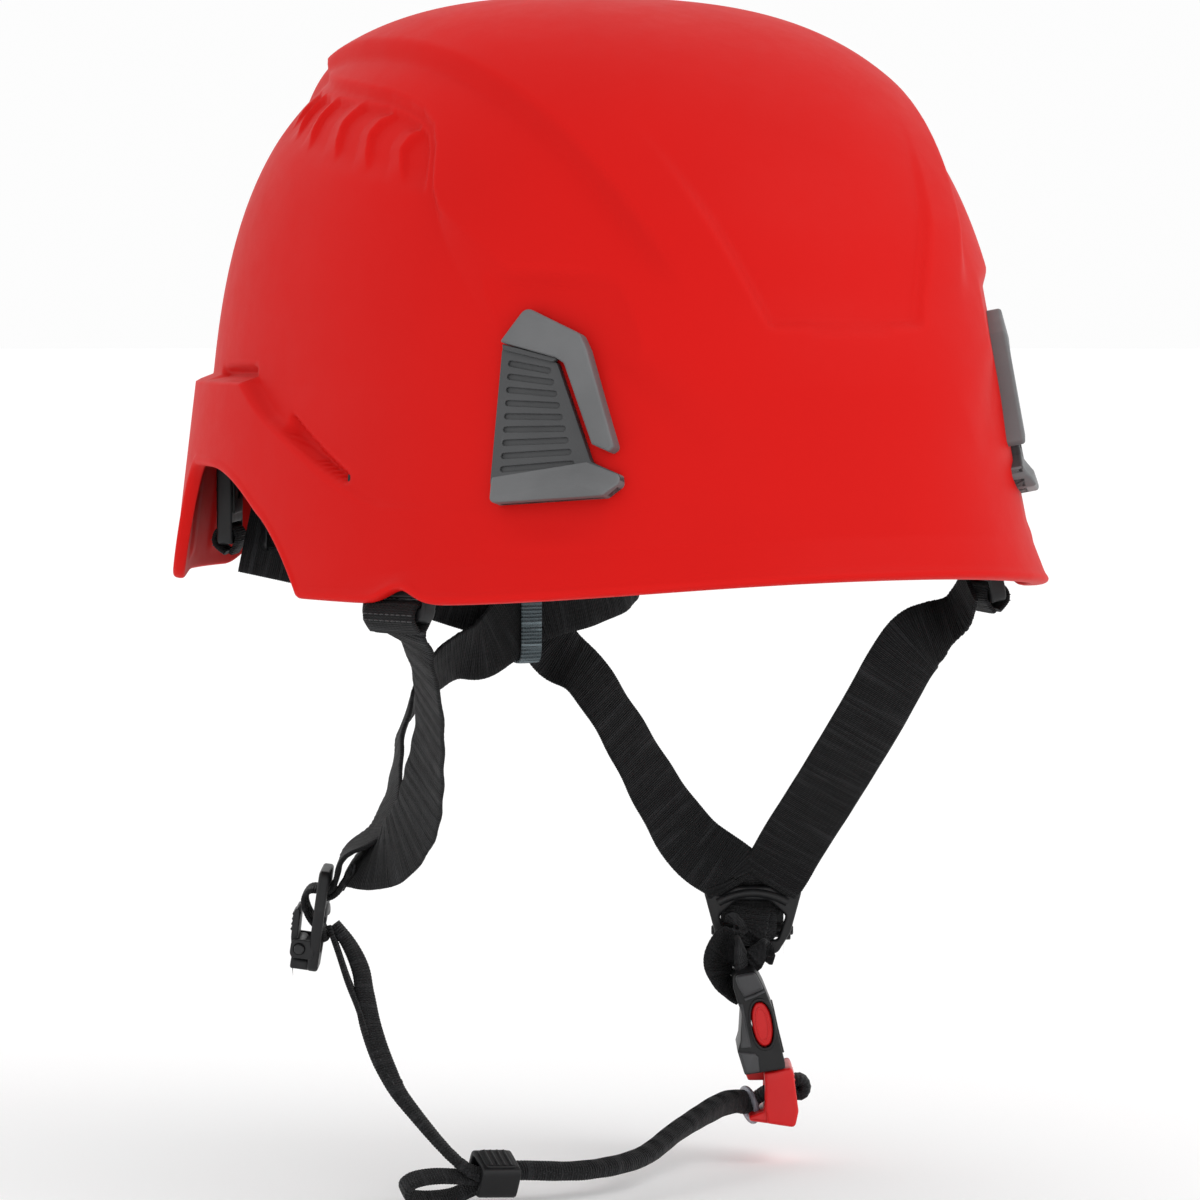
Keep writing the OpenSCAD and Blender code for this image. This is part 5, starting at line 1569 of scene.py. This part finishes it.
chin_path = [[-72.6, 24.6, -96.2], [-68.9, 21.8, -102.6], [-67, 18.8, -109.5], [-66.8, 16.6, -117],
             [-67, 12.4, -126], [-65.4, 6.6, -137], [-61.6, 0, -147.4], along_chin(-8), along_chin(8),
             along_chin(28), [8, -14.5, -166.4], [29, -2, -161.7], [50, 10, -158],
             [59.5, 14.8, -157.6], at_bk(-7.2, 0, -25.6), at_bk(-1.5, 0, -23.4), at_bk(4, 0, -23.4),
             at_bk(8.2, 0, -25.4), at_bk(10.0, 0, -23.6), at_bk(9.2, 0, -21.4), at_bk(6.6, 0, -21.2)]
chin_dirs = [[0.6, 0.8, 0], [0.72, 0.68, 0.1], [0.78, 0.58, 0.2], [0.8, 0.52, 0.3], [0.78, 0.5, 0.36],
             [0.7, 0.58, 0.4], [0.45, 0.78, 0.42], [0, 0.91, 0.41], [0, 0.91, 0.41],
             [0, 0.91, 0.41], [0, 0.9, 0.4], [0, 0.9, 0.4],
             [0.05, 0.95, 0.3], [0.1, 0.95, 0.1], [0.5, 0.86, 0], [0.5, 0.86, 0], [0.5, 0.86, 0],
             [0.5, 0.86, 0], [0.5, 0.86, 0], [0.5, 0.86, 0], [0.5, 0.86, 0]]


def chin_w(k):
    return 1 + 0.2 * ease((0.27 - k) / 0.1) - 0.14 * ease((k - 0.4) / 0.1) + 0.75 * ease((k - 0.88) / 0.03)


def chin_t(k):
    return (0.62 + 0.38 * ease((k - 0.36) / 0.1) + 0.42 * ease((k - 0.70) / 0.12)
            - 0.62 * ease((k - 0.885) / 0.025) + 0.03 * np.sin(k * 150) * ease((k - 0.4) / 0.1))


cs = piece("chin_band", strap("chin", chin_path, chin_dirs, 6.8, 4.9, pitch=0.9, taper=chin_w, thick=chin_t,
                              soft=0.75), None, M["chin"], "chin_strap")
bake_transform(cs)

# folded second layer under the near divider, sewn down to the band
fold = [[-74.6, 23.6, -97], [-73.4, 20.6, -104], [-71.8, 17.9, -112], [-69.8, 15.2, -119.6],
        [-68.4, 11.6, -128]]
webbing("chin_fold", fold, [[0.5, 0.86, 0], [0.5, 0.86, 0], [0.45, 0.86, 0.2], [0.4, 0.85, 0.3],
                            [0.4, 0.82, 0.4]],
        "helmet", (), 8.2, 1.6, "chin", "chin_webbing")
c, s, al, b, h = strap_frame(chin_path[:7], chin_dirs[:7], 2.6)
pts = [(c[i] + b[i] * k + h[i] * q * 1.22, al[i], h[i] * q)
       for i in range(14, len(c) - 3) for k in (-2.3, 2.3) for q in (1, -1)]
stitches("chin_stitching", [p[0] for p in pts], [p[1] for p in pts], [p[2] for p in pts], "helmet", 1.5, 0.16)

tail = [[5, 0, -2.6], [-3, 0, -2.7], [-10, 0, -2.2], [-18, 0, -2.0], [-24, 0, -3.2], [-26.6, 0, -5.8],
        [-25, 0, -8.6], [-19, 0, -9.7], [-11, 0, -8.8], [-5, 0, -5.6], [1, 0, -4.6], [5, 0, -4.4]]
me = strap("tail", tail, [[0, 1, 0]] * 12, 6.8, 1.9, pitch=0.9, place=CHIN)
piece("chin_tail_loop", me, "slider", M["chin"], "chin_tail")
sl = [plate("sl", [rect(-6.3, -6.25, 6.3, 3.75, 2.4, 7), rect(-4.2, -4.9, 4.2, 2.4, 1.2, 5)], -6, 6,
            CHIN @ PLATE_Y,
            0.8, 4),
      plate("sl", [rect(-4.8, -4.6, 4.8, 4.6, 1.6)], 3.3, 4.25, CHIN, 0.4)]
sl += [tube("r", [[x, -4, 4.15], [x, 4, 4.15]], 0.45, 8, CHIN) for x in (-3, -1, 1, 3)]
piece("slider_block", fused("sl", sl, 38), "slider", M["black"],
      "strap_slider")


# webbing folded round each anchor's bar and sewn to the strap
def anchor_fold(name, at):
    q = [[-1.2, 0, -16.4], [-2.4, 0, -14.4], [-3.3, 0, -11.8], [-2.4, 0, -9.3], [0, 0, -8.5], [2.4, 0, -9.3],
         [3.5, 0, -11.4], [3.2, 0, -13.6], [1.6, 0, -15.2], [0.2, 0, -16.2]]
    piece(name, strap(name, q, [[0, 1, 0]] * 10, 19.4, 1.5, place=at), "helmet", M["web"])
    nm = name + "_tack"
    parts = [tube("t", [[4.1 - k, y - 0.8, z], [4.35 - k, y, z], [4.1 - k, y + 0.8, z]], 0.2, 6, at)
             for z, k in ((-12.2, 0), (-13.9, 0.35)) for y in np.arange(-8.4, 8.5, 2.1)]
    piece(nm, fused(nm, parts), "helmet", M["thread"])


anchor_fold("anchor_fold_fl", A_FRONT)
anchor_fold("anchor_fold_fr", MIRROR @ A_FRONT)
anchor_fold("anchor_fold_rl", A_REAR)
anchor_fold("anchor_fold_rr", MIRROR @ A_REAR)


# ---------- camera, light, floor ----------
def aim(ob, target):
    d = Vector(target) - ob.location
    ob.rotation_euler = d.to_track_quat("-Z", "Y").to_euler()


CAM_TURN, CAM_RISE, CAM_DIST, CAM_LENS, FILM = -31, 3.3, 1.55, 158.1, 36.0  # degrees, degrees, m, mm, mm
WALL_TONE = 0.98
az, el = math.radians(CAM_TURN), math.radians(CAM_RISE)
back = Vector((math.sin(az) * math.cos(el), -math.cos(az) * math.cos(el), math.sin(el)))
right = Vector((math.cos(az), math.sin(az), 0))
target = (right * 2.7 + back.cross(right) * -2.4) * MM
cam = bpy.data.objects.new("camera", bpy.data.cameras.new("camera"))
bpy.context.scene.collection.objects.link(cam)
cam.location = target + back * CAM_DIST
aim(cam, target)
cam.data.lens, cam.data.sensor_width = CAM_LENS, FILM
cam.data.clip_start, cam.data.clip_end = 0.05, 60
bpy.context.scene.camera = cam


def area(name, loc, aim_at, size, power, color=(1, 1, 1), size_y=None):
    li = bpy.data.lights.new(name, "AREA")
    li.shape = "RECTANGLE" if size_y else "SQUARE"
    li.size, li.energy, li.color = size, power, color
    if size_y:
        li.size_y = size_y
    ob = bpy.data.objects.new(name, li)
    bpy.context.scene.collection.objects.link(ob)
    ob.location = loc
    aim(ob, aim_at)
    return ob


area("key", (0.9, -1.3, 1.5), (0, 0, 0.05), 1.2, 9)
area("fill_left", (-1.9, -0.5, 0.5), (0, 0, 0), 1.4, 1.2)
area("front", (-0.7, -2.1, 0.15), (0, 0, -0.03), 1.3, 1.2)
area("back", (-0.3, 1.9, 1.1), (0, 0, 0.05), 1.4, 2)
area("under", (-0.4, -0.7, -0.12), (0, 0, -0.05), 0.5, 0.6)
world = bpy.data.worlds.new("studio")
bpy.context.scene.world = world
world.use_nodes = True
world.node_tree.nodes["Background"].inputs[0].default_value = (1, 1, 1, 1)
world.node_tree.nodes["Background"].inputs[1].default_value = WALL_TONE
bpy.context.scene.view_settings.view_transform = "Standard"
bpy.context.scene.view_settings.look = "None"


def make_floor(z):
    fm = Mat("floor_paper", (0.93, 0.93, 0.93), 0.9, spec=0.05)
    fm.tint(fm.span(fm.noise(2.0, 3.0), 0.3, 0.7), (0.925, 0.925, 0.926), (0.94, 0.94, 0.94))
    fm.bump(fm.noise(600.0, 2.0), 0.00003)
    far = fm.new("VectorMath", operation="LENGTH")
    fm.link(fm.coord.outputs["Object"], far.inputs[0])
    fm.link(fm.span(far.outputs["Value"], 0.5, 2.6, 0.04, 0.13), fm.p.inputs["Emission Strength"])
    fm.set(fm.p, "Emission Color", (1, 1, 1, 1))
    rad = np.concatenate([np.linspace(0, 3, 7), np.linspace(4, 25, 8)])
    v, n = [], 64
    a = np.linspace(0, 2 * math.pi, n, endpoint=False)
    for r in rad:
        v.append(np.stack([np.cos(a) * r, np.sin(a) * r, np.full(n, z)], 1) / MM)
    ob = piece("floor", from_data("floor", np.concatenate(v), grid_faces(len(rad), n)), None, fm.m)
    ob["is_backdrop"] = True


make_floor(min(cad_lo.z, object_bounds()[0].z) - 0.0005)
